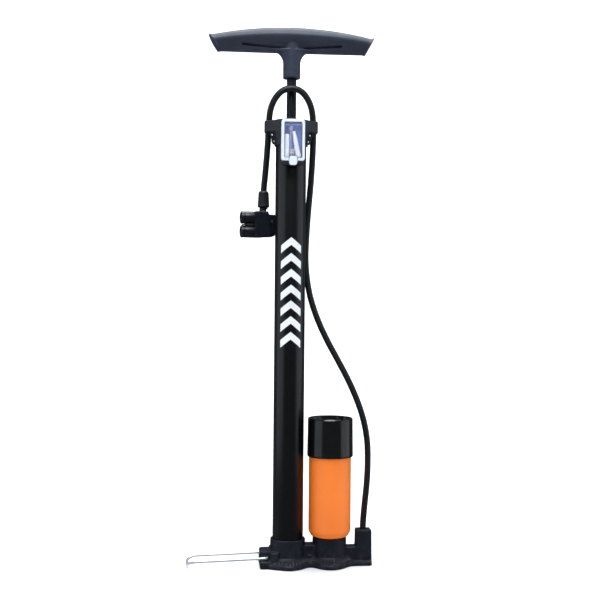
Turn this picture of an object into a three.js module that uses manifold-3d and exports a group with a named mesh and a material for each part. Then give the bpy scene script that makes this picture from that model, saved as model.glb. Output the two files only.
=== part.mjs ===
// Floor pump with an air tank: a standing bicycle pump worked by a T handle.
// Millimetres, +Z up. The origin is on the ground, on the axis of the barrel. +X runs from the
// barrel to the tank, and -Y is the front, the side that carries the accessory case.
import * as THREE from "three";
import { mergeVertices } from "three/addons/utils/BufferGeometryUtils.js";
import Module from "manifold-3d";

const wasm = await Module();
wasm.setup();

// ---- Driving dimensions ----
const gap = 0.3; // left between separate pieces that touch
const overshoot = 1; // how far a cutting tool passes the face that it opens

const barrelDiameter = 35;
const barrelWall = 1.2;
const barrelLength = 485;

const rodDiameter = 11;
const rodWall = 1.2;

const tankDiameter = 48.5;
const tankWall = 1.6;
const tankHeight = 125; // from the socket's rim to the open top
const tankClear = 6.25; // left between the barrel and the tank

const hoseDiameter = 7.2;

const baseRim = 5; // height of the foot plate's upright edge
const skirtRise = 5.6; // height of the cones from the rim up to the sockets
const seatHeight = 16; // the face that the barrel's gasket lies on
const barrelSocketWall = 2.2;
const barrelSocketTop = 31;
const tankSocketInset = 4.9; // how much smaller the tank's socket is than the tank
const tankSocketTop = 32;
const towerClear = 14.45; // from the tank's side to the hose outlet's axis
const towerWidth = 17;
const towerTop = 40.4;
const towerRight = 9.8; // from the outlet's axis to the base's right end
const firstWebTop = 24; // ribs that join the sockets and the tower
const secondWebTop = 21;
const webHalfDepth = 9;
const lugLeftEnd = -32.4;
const lugRightEnd = -12;
const lugTop = 18;
const lugHalfDepth = 21.5;
const channelRadius = 2.2;
const channelHeight = 8;

const capRoof = 4;
const capSkirt = 25; // how far the cap reaches down over the barrel
const capWall = 1.4;
const armThickness = 13.6;
const armReach = 30.6;

const handleLength = 190; // across the upper edge
const handleLowerLength = 169;
const handleHeight = 29.5;
const handleDroop = 10.8; // how far the upper edge falls from the middle to the ends
const stemDiameter = 19.8;
const stemLength = 28.8; // from its lower end to the bar's underside
const restLift = 46.5; // how far the handle stands above its lowest place

const pedalWire = 3;
const pedalHalfWidth = 15;
const pedalReach = 92; // from the pivot to the tip
const pedalPivotX = -24;
const pedalPivotZ = 11;

const caseWidth = 26.3;
const caseDrop = 2.7; // from the cap's top down to the case's
const lidHeight = 46.3;
const lidWall = 1.2;
const caseDepth = 10.8;
const caseStandoff = 4.7; // from the barrel's surface to the case's back

const neckPlace = [-30, 18]; // the pump head's neck, where the hose comes in
const headDrop = 117.8; // from the cap's top down to midway between the two valve ports
const headTurn = THREE.MathUtils.degToRad(10);
const neckTop = 19.8; // above the head's middle height
const portRadius = 7.2;
const portSpacing = 16;
const collarLength = 16;

// ---- Sizes worked out from the driving dimensions ----
const barrelRadius = barrelDiameter / 2;
const boreRadius = barrelRadius - barrelWall;
const rodRadius = rodDiameter / 2;
const rodBore = rodRadius - rodWall;
const tankRadius = tankDiameter / 2;
const hoseRadius = hoseDiameter / 2;
const stemRadius = stemDiameter / 2;
const wireRadius = pedalWire / 2;
const barrelSocketRadius = barrelRadius + gap + barrelSocketWall;
const gasketThickness = 1.5;
const barrelBottom = seatHeight + gasketThickness + 2 * gap;
const barrelTop = barrelBottom + barrelLength;
const capTop = barrelTop + gap + capRoof;
const capBottom = capTop - capRoof - capSkirt;
const bushFlange = 1.5;
const bushTop = capTop + gap + bushFlange;
const stemBottom = bushTop + restLift;
const handleBottom = stemBottom + stemLength;
const handleTop = handleBottom + handleHeight;
const caseTop = capTop - caseDrop;
const caseBack = -barrelRadius - caseStandoff;
const caseFront = caseBack - caseDepth;
const headHeight = capTop - headDrop;
const tankOffset = barrelRadius + tankClear + tankRadius; // from the barrel's axis to the tank's
const tankSocketRadius = tankRadius - tankSocketInset;
const towerX = tankOffset + tankRadius + towerClear;
const towerHalfDepth = towerWidth / 2;
const baseRightEnd = towerX + towerRight;

// ---- Materials ----
const finish = (color, roughness, metalness = 0) =>
  new THREE.MeshStandardMaterial({ color, roughness, metalness });
const blackPlastic = finish(0x24262c, 0.55);
const handlePlastic = finish(0x3a404c, 0.42);
const blackPaint = finish(0x111216, 0.25);
const orangePaint = finish(0xe8701e, 0.35);
const glossPlastic = finish(0x121316, 0.3);
const rubber = finish(0x16171b, 0.8);
const steel = finish(0xc4c7ca, 0.25, 1);
const brass = finish(0xb08d4a, 0.35, 1);
const nylon = finish(0xd8d8d0, 0.5);
const whitePlastic = finish(0xf0f2f2, 0.45);
const clearPlastic = new THREE.MeshStandardMaterial({
  color: 0xb8c4e0,
  roughness: 0.15,
  transparent: true,
  opacity: 0.35,
});

// ---- Shape helpers ----
function solidOf(geometry) {
  const bare = geometry.clone();
  bare.deleteAttribute("normal");
  bare.deleteAttribute("uv");
  const merged = mergeVertices(bare, 1e-4);
  const vertProperties = new Float32Array(merged.getAttribute("position").array);
  const triVerts = new Uint32Array(merged.index.array);
  return new wasm.Manifold(new wasm.Mesh({ numProp: 3, vertProperties, triVerts }));
}

function geometryOf(solid) {
  const { vertProperties, triVerts } = solid.getMesh();
  const geometry = new THREE.BufferGeometry();
  geometry.setAttribute("position", new THREE.BufferAttribute(vertProperties, 3));
  geometry.setIndex(new THREE.BufferAttribute(triVerts, 1));
  geometry.computeVertexNormals();
  return geometry;
}

const join = (first, ...others) =>
  geometryOf(others.reduce((sum, other) => sum.add(solidOf(other)), solidOf(first)));
const cut = (body, ...tools) =>
  geometryOf(tools.reduce((rest, tool) => rest.subtract(solidOf(tool)), solidOf(body)));
const common = (body, other) => geometryOf(solidOf(body).intersect(solidOf(other)));

// A profile of [radius, height] turned about Z. It runs anticlockwise, and either starts and ends
// on the axis or comes back to its first point.
function turned(profile, sides = 20) {
  const onAxis = profile[0][0] === 0;
  const loop = onAxis ? profile : [...profile, profile[0]];
  const points = loop.map(([r, z]) => new THREE.Vector2(r, z));
  return new THREE.LatheGeometry(points, sides).rotateX(Math.PI / 2);
}

const cylinder = (radius, from, to, sides = 20) =>
  turned([[0, from], [radius, from], [radius, to], [0, to]], sides);
const ring = (inner, outer, from, to, sides = 20) =>
  turned([[inner, from], [outer, from], [outer, to], [inner, to]], sides);
const block = (x0, x1, y0, y1, z0, z1) =>
  new THREE.BoxGeometry(x1 - x0, y1 - y0, z1 - z0).translate(
    (x0 + x1) / 2,
    (y0 + y1) / 2,
    (z0 + z1) / 2,
  );

// A flat outline in XY, raised from one height to another.
const raised = (shape, from, to, curveSegments = 6) =>
  new THREE.ExtrudeGeometry(shape, { depth: to - from, bevelEnabled: false, curveSegments })
    .translate(0, 0, from);

// A flat outline whose second coordinate is the height, drawn out along Y from y0 to y1.
const drawnOut = (shape, y0, y1, curveSegments = 6) =>
  new THREE.ExtrudeGeometry(shape, { depth: y1 - y0, bevelEnabled: false, curveSegments })
    .rotateX(Math.PI / 2)
    .translate(0, y1, 0);

function outline(points) {
  const shape = new THREE.Shape();
  points.forEach(([x, y], i) => (i ? shape.lineTo(x, y) : shape.moveTo(x, y)));
  shape.closePath();
  return shape;
}

function roundedRectangle(x0, x1, y0, y1, r) {
  const shape = new THREE.Shape();
  shape.moveTo(x0 + r, y0);
  shape.lineTo(x1 - r, y0);
  shape.absarc(x1 - r, y0 + r, r, -Math.PI / 2, 0);
  shape.absarc(x1 - r, y1 - r, r, 0, Math.PI / 2);
  shape.absarc(x0 + r, y1 - r, r, Math.PI / 2, Math.PI);
  shape.absarc(x0 + r, y0 + r, r, Math.PI, 1.5 * Math.PI);
  shape.closePath();
  return shape;
}

// A round bar along a curve.
function bar(curve, radius, steps, sides = 8) {
  const section = new THREE.Shape();
  section.absarc(0, 0, radius, 0, 2 * Math.PI);
  const curveSegments = sides / 2; // an arc is given two sides to each segment
  return new THREE.ExtrudeGeometry(section, {
    steps,
    curveSegments,
    bevelEnabled: false,
    extrudePath: curve,
  });
}

const alongX = (geometry) => geometry.rotateY(Math.PI / 2); // Z becomes X
const alongY = (geometry) => geometry.rotateX(-Math.PI / 2); // Z becomes Y

const part = new THREE.Group();

function add(name, geometry, material, parent = part) {
  const mesh = new THREE.Mesh(geometry, material);
  mesh.name = name;
  parent.add(mesh);
  return mesh;
}

// ---- Hose route, from the outlet up the right side, over the top and down to the pump head ----
// It was laid out for a barrel of routeRadius under a cap whose top is at routeTop. With another
// cap height, the climb past passTop is stretched, and all that hangs from the cap moves up or down
// with it. With another barrel, all that runs beside it or hangs from its cap is moved outwards.
const routeTop = 507.4;
const routeRadius = 17.5;
const passTop = 187.5; // where the hose has passed the tank
const hoseClear = 8; // from the barrel's surface to the hose where the cap holds it
const widen = (barrelRadius + hoseClear) / (routeRadius + hoseClear);
const climb = (z) => passTop + ((z - passTop) * (capTop - passTop)) / (routeTop - passTop);
const hang = (z) => z + capTop - routeTop;
const [neckX, neckY] = neckPlace.map((v) => v * widen);
const outletRoute = [
  [0, 0, 42], [1.3, 0, 62], [4.4, 0.3, 95.6], [5.2, 0.8, 118.5], [4.4, 1.5, 141.5], [0.3, 2.5, 164.5],
  [-7.2, 4, passTop],
].map(([x, y, z]) => [towerX + x, y, z]);
const climbRoute = [
  [69.3, 5.5, 210.5], [57.1, 7.5, 233.6], [44.6, 9.5, 256.6], [33.9, 11.5, 279.8],
].map(([x, y, z]) => [x, y, climb(z)]);
const besideRoute = [
  [26, 13.5, 302.9], [21.3, 15, 326.1], [19.4, 15.6, 349.3], [19.8, 15.6, 372.5], [22.1, 14.2, 409.6],
  [24.1, 11.5, 437.1], [25.4, 8, 464.5], [25.7, 4, 484.6],
].map(([x, y, z]) => [x * widen, y * widen, climb(z)]);
const archRoute = [
  [25.4, 0, 500.1], [23.4, -4.6, 517.7], [20.9, -6.6, 525.6], [17.2, -8.4, 532.4], [12.2, -9.6, 538.2],
  [6.4, -10.3, 541.6], [-0.6, -10.6, 542.9], [-7.6, -10.3, 541.6], [-13.4, -9.6, 538.2],
  [-18.4, -8.4, 532.4], [-22, -6.6, 525.6], [-24.4, -4.6, 517.7], [-25.8, 0, 500.1],
  [-26.3, 4.4, 484.1], [-27.4, 9.4, 464.1], [-28.8, 14.4, 444.2], [-29.8, 17.6, 431.5],
  [...neckPlace, 423],
].map(([x, y, z]) => [x * widen, y * widen, hang(z)]);
const hoseFoot = 26.6; // the lower end, inside the tower
const hoseRoute = [
  [towerX, 0, hoseFoot],
  ...outletRoute,
  ...climbRoute,
  ...besideRoute,
  ...archRoute,
  [neckX, neckY, headHeight + neckTop + gap],
].map((p) => new THREE.Vector3(...p));
const hoseCurve = new THREE.CatmullRomCurve3(hoseRoute, false, "centripetal");
const hoseSteps = 64;
const hoseTool = bar(hoseCurve, hoseRadius + 1.4 * gap, hoseSteps, 16); // what clips and nut leave free

// ---- Base ----
const tankBulge = tankSocketRadius + 10.6;
const barrelBulge = barrelSocketRadius + 11;
const footHalfDepth = towerHalfDepth + 3.5;

// The foot plate's outline: its front edge swells round each socket, and the back edge mirrors it.
function footOutline() {
  const edge = [
    [-24, lugHalfDepth],
    [-12, barrelBulge - 4],
    [0, barrelBulge],
    [11, barrelBulge - 3.5],
    [tankOffset * 0.53, barrelBulge / 2 + 1],
    [tankOffset - 10.5, tankBulge - 3.5],
    [tankOffset + 1, tankBulge],
    [tankOffset + 12, tankBulge - 5],
    [tankOffset + 24, footHalfDepth + 1.5],
    [towerX - 4, footHalfDepth],
  ];
  const corner = 4;
  const shape = new THREE.Shape();
  shape.moveTo(lugLeftEnd, -lugHalfDepth);
  shape.lineTo(-24, -lugHalfDepth);
  shape.splineThru(edge.slice(1).map(([x, y]) => new THREE.Vector2(x, -y)));
  shape.lineTo(baseRightEnd - corner, -footHalfDepth);
  shape.absarc(baseRightEnd - corner, corner - footHalfDepth, corner, -Math.PI / 2, 0);
  shape.absarc(baseRightEnd - corner, footHalfDepth - corner, corner, 0, Math.PI / 2);
  shape.lineTo(towerX - 4, footHalfDepth);
  shape.splineThru(edge.slice(0, -1).reverse().map(([x, y]) => new THREE.Vector2(x, y)));
  shape.lineTo(lugLeftEnd, lugHalfDepth);
  shape.closePath();
  return shape;
}

const seatInsertRadius = 7;
const seatInsertHeight = 3;
const chamberRadius = 5.5;
const chamberFloor = 5;
const chamberTop = seatHeight - seatInsertHeight - gap;
const spigotRadius = 12;
const spigotFloor = 20;
const plugRadius = 3;
const plugLength = 6;
const fittingRadius = 3.6;
const fittingBottom = 12;
const fittingTop = hoseFoot - gap;

function makeBase() {
  const foot = footOutline();
  const plate = raised(foot, 0, baseRim, 4);
  const skirtTop = baseRim + skirtRise;
  const skirt = (radius, socket) =>
    turned([
      [0, baseRim - 1],
      [radius, baseRim - 1],
      [radius, baseRim],
      [socket + 1, skirtTop],
      [0, skirtTop],
    ]);
  const skirts = common(
    join(
      skirt(barrelBulge, barrelSocketRadius),
      skirt(tankBulge, tankSocketRadius).translate(tankOffset, 0, 0),
    ),
    raised(foot, 0, skirtTop, 4),
  );
  const inSocket = 5; // how far a web reaches into a socket's wall
  const firstWeb = block(
    barrelSocketRadius - inSocket,
    tankOffset - tankSocketRadius + inSocket,
    -webHalfDepth,
    webHalfDepth,
    1,
    firstWebTop,
  );
  const secondWeb = block(
    tankOffset + tankSocketRadius - inSocket,
    towerX,
    -webHalfDepth + 1,
    webHalfDepth - 1,
    1,
    secondWebTop,
  );
  const towerTaper = 1;
  const tower = drawnOut(
    outline([
      [towerX - towerHalfDepth - towerTaper / 2, 1],
      [baseRightEnd, 1],
      [baseRightEnd - towerTaper, towerTop],
      [towerX - towerHalfDepth, towerTop],
    ]),
    -towerHalfDepth,
    towerHalfDepth,
  );
  const lugSide = roundedRectangle(lugLeftEnd, lugRightEnd, 1, lugTop, 3);
  const lug = drawnOut(lugSide, -lugHalfDepth, lugHalfDepth, 3);
  const body = join(
    plate,
    skirts,
    cylinder(barrelSocketRadius, 1, barrelSocketTop, 32),
    cylinder(tankSocketRadius, 1, tankSocketTop, 32).translate(tankOffset, 0, 0),
    firstWeb,
    secondWeb,
    tower,
    lug,
  );
  const pinRadius = wireRadius + gap + 0.1;
  // The open corners of the lug, where the pedal's legs lie and fold up.
  const cornerInside = pedalHalfWidth - wireRadius - 0.8;
  const corner = (y0, y1) =>
    block(
      lugLeftEnd - overshoot,
      pedalPivotX + wireRadius + 2,
      y0,
      y1,
      pedalPivotZ - wireRadius - 1.2,
      lugTop + overshoot,
    );
  return cut(
    body,
    cylinder(barrelRadius + gap, seatHeight, barrelSocketTop + overshoot, 32),
    cylinder(seatInsertRadius + gap, chamberTop, seatHeight + overshoot),
    cylinder(chamberRadius, chamberFloor, chamberTop + overshoot),
    alongX(cylinder(channelRadius, 0, baseRightEnd + overshoot, 12)).translate(0, 0, channelHeight),
    cylinder(channelRadius, channelHeight, spigotFloor + overshoot, 12).translate(tankOffset, 0, 0),
    cylinder(spigotRadius + gap, spigotFloor, tankSocketTop + overshoot, 32).translate(tankOffset, 0, 0),
    alongX(cylinder(plugRadius + gap, baseRightEnd - plugLength - gap, baseRightEnd + overshoot, 16))
      .translate(0, 0, channelHeight),
    cylinder(hoseRadius + gap, fittingBottom - gap, towerTop + overshoot).translate(towerX, 0, 0),
    cylinder(channelRadius, channelHeight, fittingBottom, 12).translate(towerX, 0, 0),
    alongY(cylinder(pinRadius, -pedalHalfWidth, pedalHalfWidth, 16)).translate(pedalPivotX, 0, pedalPivotZ),
    corner(-lugHalfDepth - overshoot, -cornerInside),
    corner(cornerInside, lugHalfDepth + overshoot),
  );
}

add("base", makeBase(), blackPlastic);
const gasketBottom = seatHeight + gap;
const gasket = ring(barrelRadius - 3, barrelRadius, gasketBottom, gasketBottom + gasketThickness);
add("barrel_gasket", gasket, rubber);
add("channel_plug", alongX(cylinder(plugRadius, baseRightEnd - plugLength, baseRightEnd, 16))
  .translate(0, 0, channelHeight), brass);
add("hose_fitting", ring(1.6, fittingRadius, fittingBottom, fittingTop).translate(towerX, 0, 0), brass);

// ---- Check valve below the barrel ----
const valveDiscThickness = 2;
const valveDiscBottom = chamberTop - valveDiscThickness;
const springBottom = chamberFloor + gap;
const springTop = valveDiscBottom - gap;

class Helix extends THREE.Curve {
  constructor(radius, bottom, top, turns) {
    super();
    Object.assign(this, { radius, bottom, top, turns });
  }
  getPoint(t, target = new THREE.Vector3()) {
    const angle = 2 * Math.PI * this.turns * t;
    const height = this.bottom + (this.top - this.bottom) * t;
    return target.set(this.radius * Math.cos(angle), this.radius * Math.sin(angle), height);
  }
}

const springWire = 0.35;
add("valve_seat", ring(1.6, seatInsertRadius, seatHeight - seatInsertHeight, seatHeight), brass);
add("valve_disc", cylinder(4.5, valveDiscBottom, chamberTop), rubber);
const springCoil = new Helix(3, springBottom + springWire, springTop - springWire, 4);
add("valve_spring", bar(springCoil, springWire, 40, 4), steel);

// ---- Barrel and cap ----
add("barrel", ring(boreRadius, barrelRadius, barrelBottom, barrelTop, 32), blackPaint);

const bushRadius = 8.7;
const bushBottom = capTop - 11.5;
const bossRadius = 12;
const bossBottom = bushBottom;
const padBottom = caseTop - 22;

function makeCap() {
  const inner = barrelRadius + gap;
  const ceiling = capTop - capRoof;
  const shoulder = inner + 3.8;
  const shell = turned([
    [0, ceiling],
    [inner, ceiling],
    [inner, capBottom],
    [inner + capWall, capBottom],
    [inner + capWall, capBottom + 6],
    [shoulder, capBottom + 14],
    [shoulder, capTop - 1],
    [shoulder - 1, capTop],
    [0, capTop],
  ], 32);
  const boss = cylinder(bossRadius, bossBottom, capTop - 1);
  const wings = new THREE.Shape();
  const front = [[-22, -9.5], [-12, -17.5], [0, -20], [12, -17.5], [22, -9.5], [armReach, -4.8]];
  wings.moveTo(-armReach * widen, -4.8 * widen);
  wings.splineThru(front.map(([x, y]) => new THREE.Vector2(x * widen, y * widen)));
  const back = [[armReach, 6.2], [17, 11], [-17, 11], [-armReach, 6.2]];
  for (const [x, y] of back) wings.lineTo(x * widen, y * widen);
  wings.closePath();
  const armTop = capTop - 0.3;
  const armBottom = armTop - armThickness;
  const arms = raised(wings, armBottom, armTop, 5);
  const padHalf = 9;
  const pad = block(-padHalf, padHalf, caseBack + gap, -inner - 1, padBottom, capTop - 1.4);
  const barrelRoom = cylinder(inner, capBottom - overshoot, ceiling, 32);
  const slotHalf = 2.7;
  const slotTool = block(-slotHalf, slotHalf, 1, 13 * widen, armBottom - overshoot, capTop + overshoot);
  const clipSlot = (x) => slotTool.clone().translate(x * widen, 0, 0);
  const outside = cut(join(arms, pad, shell), barrelRoom, hoseTool, clipSlot(25.4), clipSlot(-25.9));
  const bushRoom = cylinder(bushRadius + gap, bossBottom - overshoot, capTop + overshoot, 32);
  return cut(join(outside, boss), bushRoom);
}

add("barrel_cap", makeCap(), blackPlastic);
add("rod_bush", turned([
  [rodRadius + gap, bushBottom],
  [bushRadius, bushBottom],
  [bushRadius, capTop + gap],
  [bushRadius + 1.8, capTop + gap],
  [bushRadius + 1.8, bushTop],
  [rodRadius + gap, bushTop],
]), nylon);
const bumperTop = bossBottom - gap;
const bumperThickness = 5.5;
const bumperBottom = bumperTop - bumperThickness;
add("rebound_bumper", ring(rodRadius + 2 * gap, bossRadius - 0.5, bumperBottom, bumperTop), rubber);

// ---- Piston, rod and handle ----
const studRadius = rodBore - gap;
const studEnd = studRadius - 1;
const seatClearance = 1.5; // left under the piston at its lowest place
const stackBottom = seatHeight + seatClearance + restLift;
const nutBottom = stackBottom + 1.5;
const nutHeight = 5;
const washerBottom = nutBottom + nutHeight + gap;
const washerThickness = 1.6;
const cupBottom = washerBottom + washerThickness + gap;
const cupFloor = 2.5; // thickness of the cup's disc
const cupHeight = 7;
const pistonBottom = cupBottom + cupFloor + gap;
const pistonHeight = 17;
const studShoulder = 2;
const rodBottom = pistonBottom + pistonHeight + gap + studShoulder;
const hexagon = (acrossFlats, from, to) => cylinder(acrossFlats / Math.sqrt(3), from, to, 6);

// The cup seal: a disc with a lip that opens downwards round the retaining washer.
add("cup_seal", turned([
  [studEnd + gap, cupBottom],
  [boreRadius - 2.4, cupBottom],
  [boreRadius - 1.6, cupBottom + cupFloor - cupHeight],
  [boreRadius - gap, cupBottom + cupFloor - cupHeight],
  [boreRadius - gap - 0.4, cupBottom + cupFloor],
  [studEnd + gap, cupBottom + cupFloor],
]), rubber);
add("piston", turned([
  [studEnd + gap, pistonBottom],
  [boreRadius - 1.6, pistonBottom],
  [boreRadius - 1.6, pistonBottom + 3],
  [boreRadius - 4, pistonBottom + 4],
  [boreRadius - 4, pistonBottom + pistonHeight - 4],
  [boreRadius - 0.6, pistonBottom + pistonHeight - 3],
  [boreRadius - 0.6, pistonBottom + pistonHeight],
  [studEnd + gap, pistonBottom + pistonHeight],
]), nylon);
const washer = ring(studEnd + gap, boreRadius - 4.5, washerBottom, washerBottom + washerThickness);
add("cup_washer", washer, steel);
add("piston_nut", cut(hexagon(10, nutBottom, nutBottom + nutHeight),
  cylinder(studEnd + gap, nutBottom - overshoot, nutBottom + nutHeight + overshoot, 16)), steel);

const studInRod = 18;
const shoulderBottom = rodBottom - studShoulder;
add("piston_stud", turned([
  [0, stackBottom],
  [studEnd, stackBottom],
  [studEnd, shoulderBottom],
  [rodRadius, shoulderBottom],
  [rodRadius, rodBottom - gap],
  [studRadius, rodBottom - gap],
  [studRadius, rodBottom + studInRod],
  [0, rodBottom + studInRod],
]), steel);

const rodTop = handleBottom - 2.5;
const captiveNutBottom = rodTop + 0.5;
const captiveNutTop = captiveNutBottom + 6;
const captiveNutFlats = 13;
add("rod", ring(rodBore, rodRadius, rodBottom, rodTop), blackPaint);
add("handle_stud", cylinder(studRadius, rodTop - studInRod, captiveNutTop + 1), steel);
add("handle_nut", cut(hexagon(captiveNutFlats, captiveNutBottom, captiveNutTop),
  cylinder(studRadius + gap, captiveNutBottom - overshoot, captiveNutTop + overshoot)), steel);

// The bar of the handle: egg-shaped sections, wide above and narrow below, swept from end to end.
// The ends lean in towards the lower edge and finish in a flared lip.
function handleBar() {
  const stations = [-1, -0.965, -0.955, -0.7, -0.45, -0.2, 0, 0.2, 0.45, 0.7, 0.955, 0.965, 1];
  const around = 14;
  const position = [];
  for (const t of stations) {
    const lip = Math.abs(t) > 0.96 ? 1.2 : 0;
    const top = handleTop - handleDroop * Math.abs(t) ** 2 + lip;
    const bottom = handleBottom + 0.4 * t * t - lip / 2;
    const middle = (top + bottom) / 2;
    for (let k = 0; k < around; k++) {
      const angle = (2 * Math.PI * k) / around;
      const rise = Math.sin(angle);
      const share = THREE.MathUtils.smoothstep(rise, -0.6, 0.35);
      const depth = THREE.MathUtils.lerp(8.2, 13.2 - 2.6 * t * t, share) + lip;
      const z = middle + ((top - bottom) / 2) * rise;
      const up = (z - handleBottom) / (handleTop - handleBottom);
      const half = THREE.MathUtils.lerp(handleLowerLength, handleLength, Math.min(up * 1.5, 1)) / 2;
      position.push(t * half, depth * Math.cos(angle), z);
    }
  }
  const index = [];
  const last = stations.length - 1;
  const at = (i, k) => i * around + (k % around);
  for (let i = 0; i < last; i++)
    for (let k = 0; k < around; k++) {
      index.push(at(i, k), at(i + 1, k + 1), at(i + 1, k));
      index.push(at(i, k), at(i, k + 1), at(i + 1, k + 1));
    }
  for (let k = 1; k < around - 1; k++) {
    index.push(at(0, 0), at(0, k + 1), at(0, k));
    index.push(at(last, 0), at(last, k), at(last, k + 1));
  }
  const geometry = new THREE.BufferGeometry();
  geometry.setAttribute("position", new THREE.Float32BufferAttribute(position, 3));
  geometry.setIndex(index);
  return geometry;
}

function makeHandle() {
  const fillet = 13;
  const web = new THREE.Shape();
  const corner = stemRadius - 1.5 + fillet;
  const low = handleBottom + 2 - fillet;
  web.moveTo(-corner, handleBottom + 6);
  web.lineTo(-corner, low + fillet);
  web.absarc(-corner, low, fillet, Math.PI / 2, 0, true);
  web.lineTo(corner - fillet, low);
  web.absarc(corner, low, fillet, Math.PI, Math.PI / 2, true);
  web.lineTo(corner, handleBottom + 6);
  web.closePath();
  const stem = turned([
    [0, stemBottom],
    [stemRadius - 0.8, stemBottom],
    [stemRadius, stemBottom + 0.8],
    [stemRadius, handleBottom],
    [stemRadius - 1, handleBottom + 6],
    [stemRadius - 4, handleBottom + 11],
    [0, handleBottom + 13],
  ], 32);
  const grooveFloor = 4.5; // from the middle of the bar
  const groove = (side, front) => {
    const near = 14;
    const far = 57;
    const shape = outline([
      [side * near, handleBottom + 4],
      [side * far, handleBottom + 6.6],
      [side * far, handleBottom + 9.3],
      [side * near, handleBottom + 6.1],
    ]);
    return drawnOut(shape, front ? -16 : grooveFloor, front ? -grooveFloor : 16);
  };
  const nutPocket = hexagon(captiveNutFlats + 2 * gap, captiveNutBottom - 0.5, captiveNutTop + 2);
  return cut(
    join(handleBar(), drawnOut(web, -6.5, 6.5, 5), stem),
    groove(1, true),
    groove(1, false),
    groove(-1, true),
    groove(-1, false),
    cylinder(rodRadius + gap, stemBottom - overshoot, captiveNutBottom, 32),
    nutPocket,
  );
}
add("handle", makeHandle(), handlePlastic);

// ---- Air tank ----
const tankBottom = tankSocketTop + gap;
const tankTop = tankBottom + tankHeight;
const tankSealThickness = 1.5;
const spigotBottom = spigotFloor + tankSealThickness + 2 * gap;
const shoulderCurve = 7.2;
const footRadius = tankRadius - shoulderCurve + 0.5;
const tankCapBottom = tankTop - 33;
const tankCapTop = tankTop + 11;
const tankInside = tankRadius - tankWall;

const tank = new THREE.Group();
tank.position.x = tankOffset;
part.add(tank);
const tankSealBottom = spigotFloor + gap;
const tankSeal = ring(7, spigotRadius - 1, tankSealBottom, tankSealBottom + tankSealThickness);
add("tank_seal", tankSeal, rubber, tank);
add("tank", turned([
  [channelRadius, spigotBottom],
  [spigotRadius, spigotBottom],
  [spigotRadius, tankBottom],
  [footRadius, tankBottom],
  [footRadius + shoulderCurve * 0.55, tankBottom + shoulderCurve * 0.25],
  [tankRadius, tankBottom + shoulderCurve],
  [tankRadius, tankTop],
  [tankInside, tankTop],
  [tankInside, tankBottom + shoulderCurve + 1.5],
  [footRadius, tankBottom + 4],
  [channelRadius, tankBottom + 4],
], 32), orangePaint, tank);
const capSealTop = tankTop + gap + 1.2;
add("tank_cap_seal", ring(tankInside - 2, tankRadius - 0.4, tankTop + gap, capSealTop), rubber, tank);
const tankCapInside = tankRadius + gap;
const tankCapRoof = capSealTop + gap;
add("tank_cap", turned([
  [0, tankCapRoof],
  [tankCapInside, tankCapRoof],
  [tankCapInside, tankCapBottom],
  [tankCapInside + 1.4, tankCapBottom],
  [tankCapInside + 1.8, tankCapBottom + 1.5],
  [tankCapInside + 1.3, tankCapTop - 0.6],
  [tankCapInside + 0.7, tankCapTop],
  [tankCapInside - 1.6, tankCapTop],
  [tankCapInside - 2.2, tankCapRoof + 3],
  [0, tankCapRoof + 3],
], 32), glossPlastic, tank);

// ---- Foot pedal: one bent wire, hinged in the lug at the left of the base ----
function pedalCurve() {
  const droop = 0.038; // how far the legs fall for each millimetre outwards
  const pinEnd = 4;
  const bend = 3;
  const curve = new THREE.CurvePath();
  const at = (x, y) => {
    const out = pedalPivotX - x;
    const past = Math.max(out - (pedalReach - 8), 0);
    return new THREE.Vector3(x, y, pedalPivotZ - droop * Math.max(out, 0) - 0.4 * past);
  };
  const tipX = pedalPivotX - pedalReach + wireRadius;
  const round = 9;
  const stops = [];
  const half = (side) => {
    const y = side * pedalHalfWidth;
    const leg = [
      at(pedalPivotX, side * pinEnd),
      at(pedalPivotX, y - side * bend),
      at(pedalPivotX, y),
      at(pedalPivotX - bend, y),
      at(tipX + 15, y),
      at(tipX + round, y),
      at(tipX, y),
      at(tipX, y - side * round),
    ];
    return leg;
  };
  const near = half(-1);
  const far = half(1).reverse();
  stops.push(...near, ...far);
  const straight = (a, b) => curve.add(new THREE.LineCurve3(a, b));
  const curved = (a, b, c) => curve.add(new THREE.QuadraticBezierCurve3(a, b, c));
  straight(stops[0], stops[1]);
  curved(stops[1], stops[2], stops[3]);
  straight(stops[3], stops[4]);
  straight(stops[4], stops[5]);
  curved(stops[5], stops[6], stops[7]);
  straight(stops[7], stops[8]);
  curved(stops[8], stops[9], stops[10]);
  straight(stops[10], stops[11]);
  straight(stops[11], stops[12]);
  curved(stops[12], stops[13], stops[14]);
  straight(stops[14], stops[15]);
  return curve;
}
add("foot_pedal", bar(pedalCurve(), wireRadius, 72, 8), steel);

// ---- Accessory case on the front of the cap ----
const lidBottom = caseTop - lidHeight;
const caseBottom = lidBottom - 4.5;
const halfCase = caseWidth / 2;
const tubHalf = halfCase - lidWall - gap;
const tubWall = 1.4;
const tubFloor = lidBottom + lidWall + gap;
const tubFront = caseFront + lidWall + gap;
const lidDepth = 8;
const lidPivotRadius = 3.7; // from the hinge line to the lid's upper face
const lidPivotZ = caseTop - lidPivotRadius;
const lidPivotY = caseFront + 5;
const stubRadius = 1.1;
const tabHalf = 4.6; // half the width and nearly half the height of the lid's thumb tab

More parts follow.
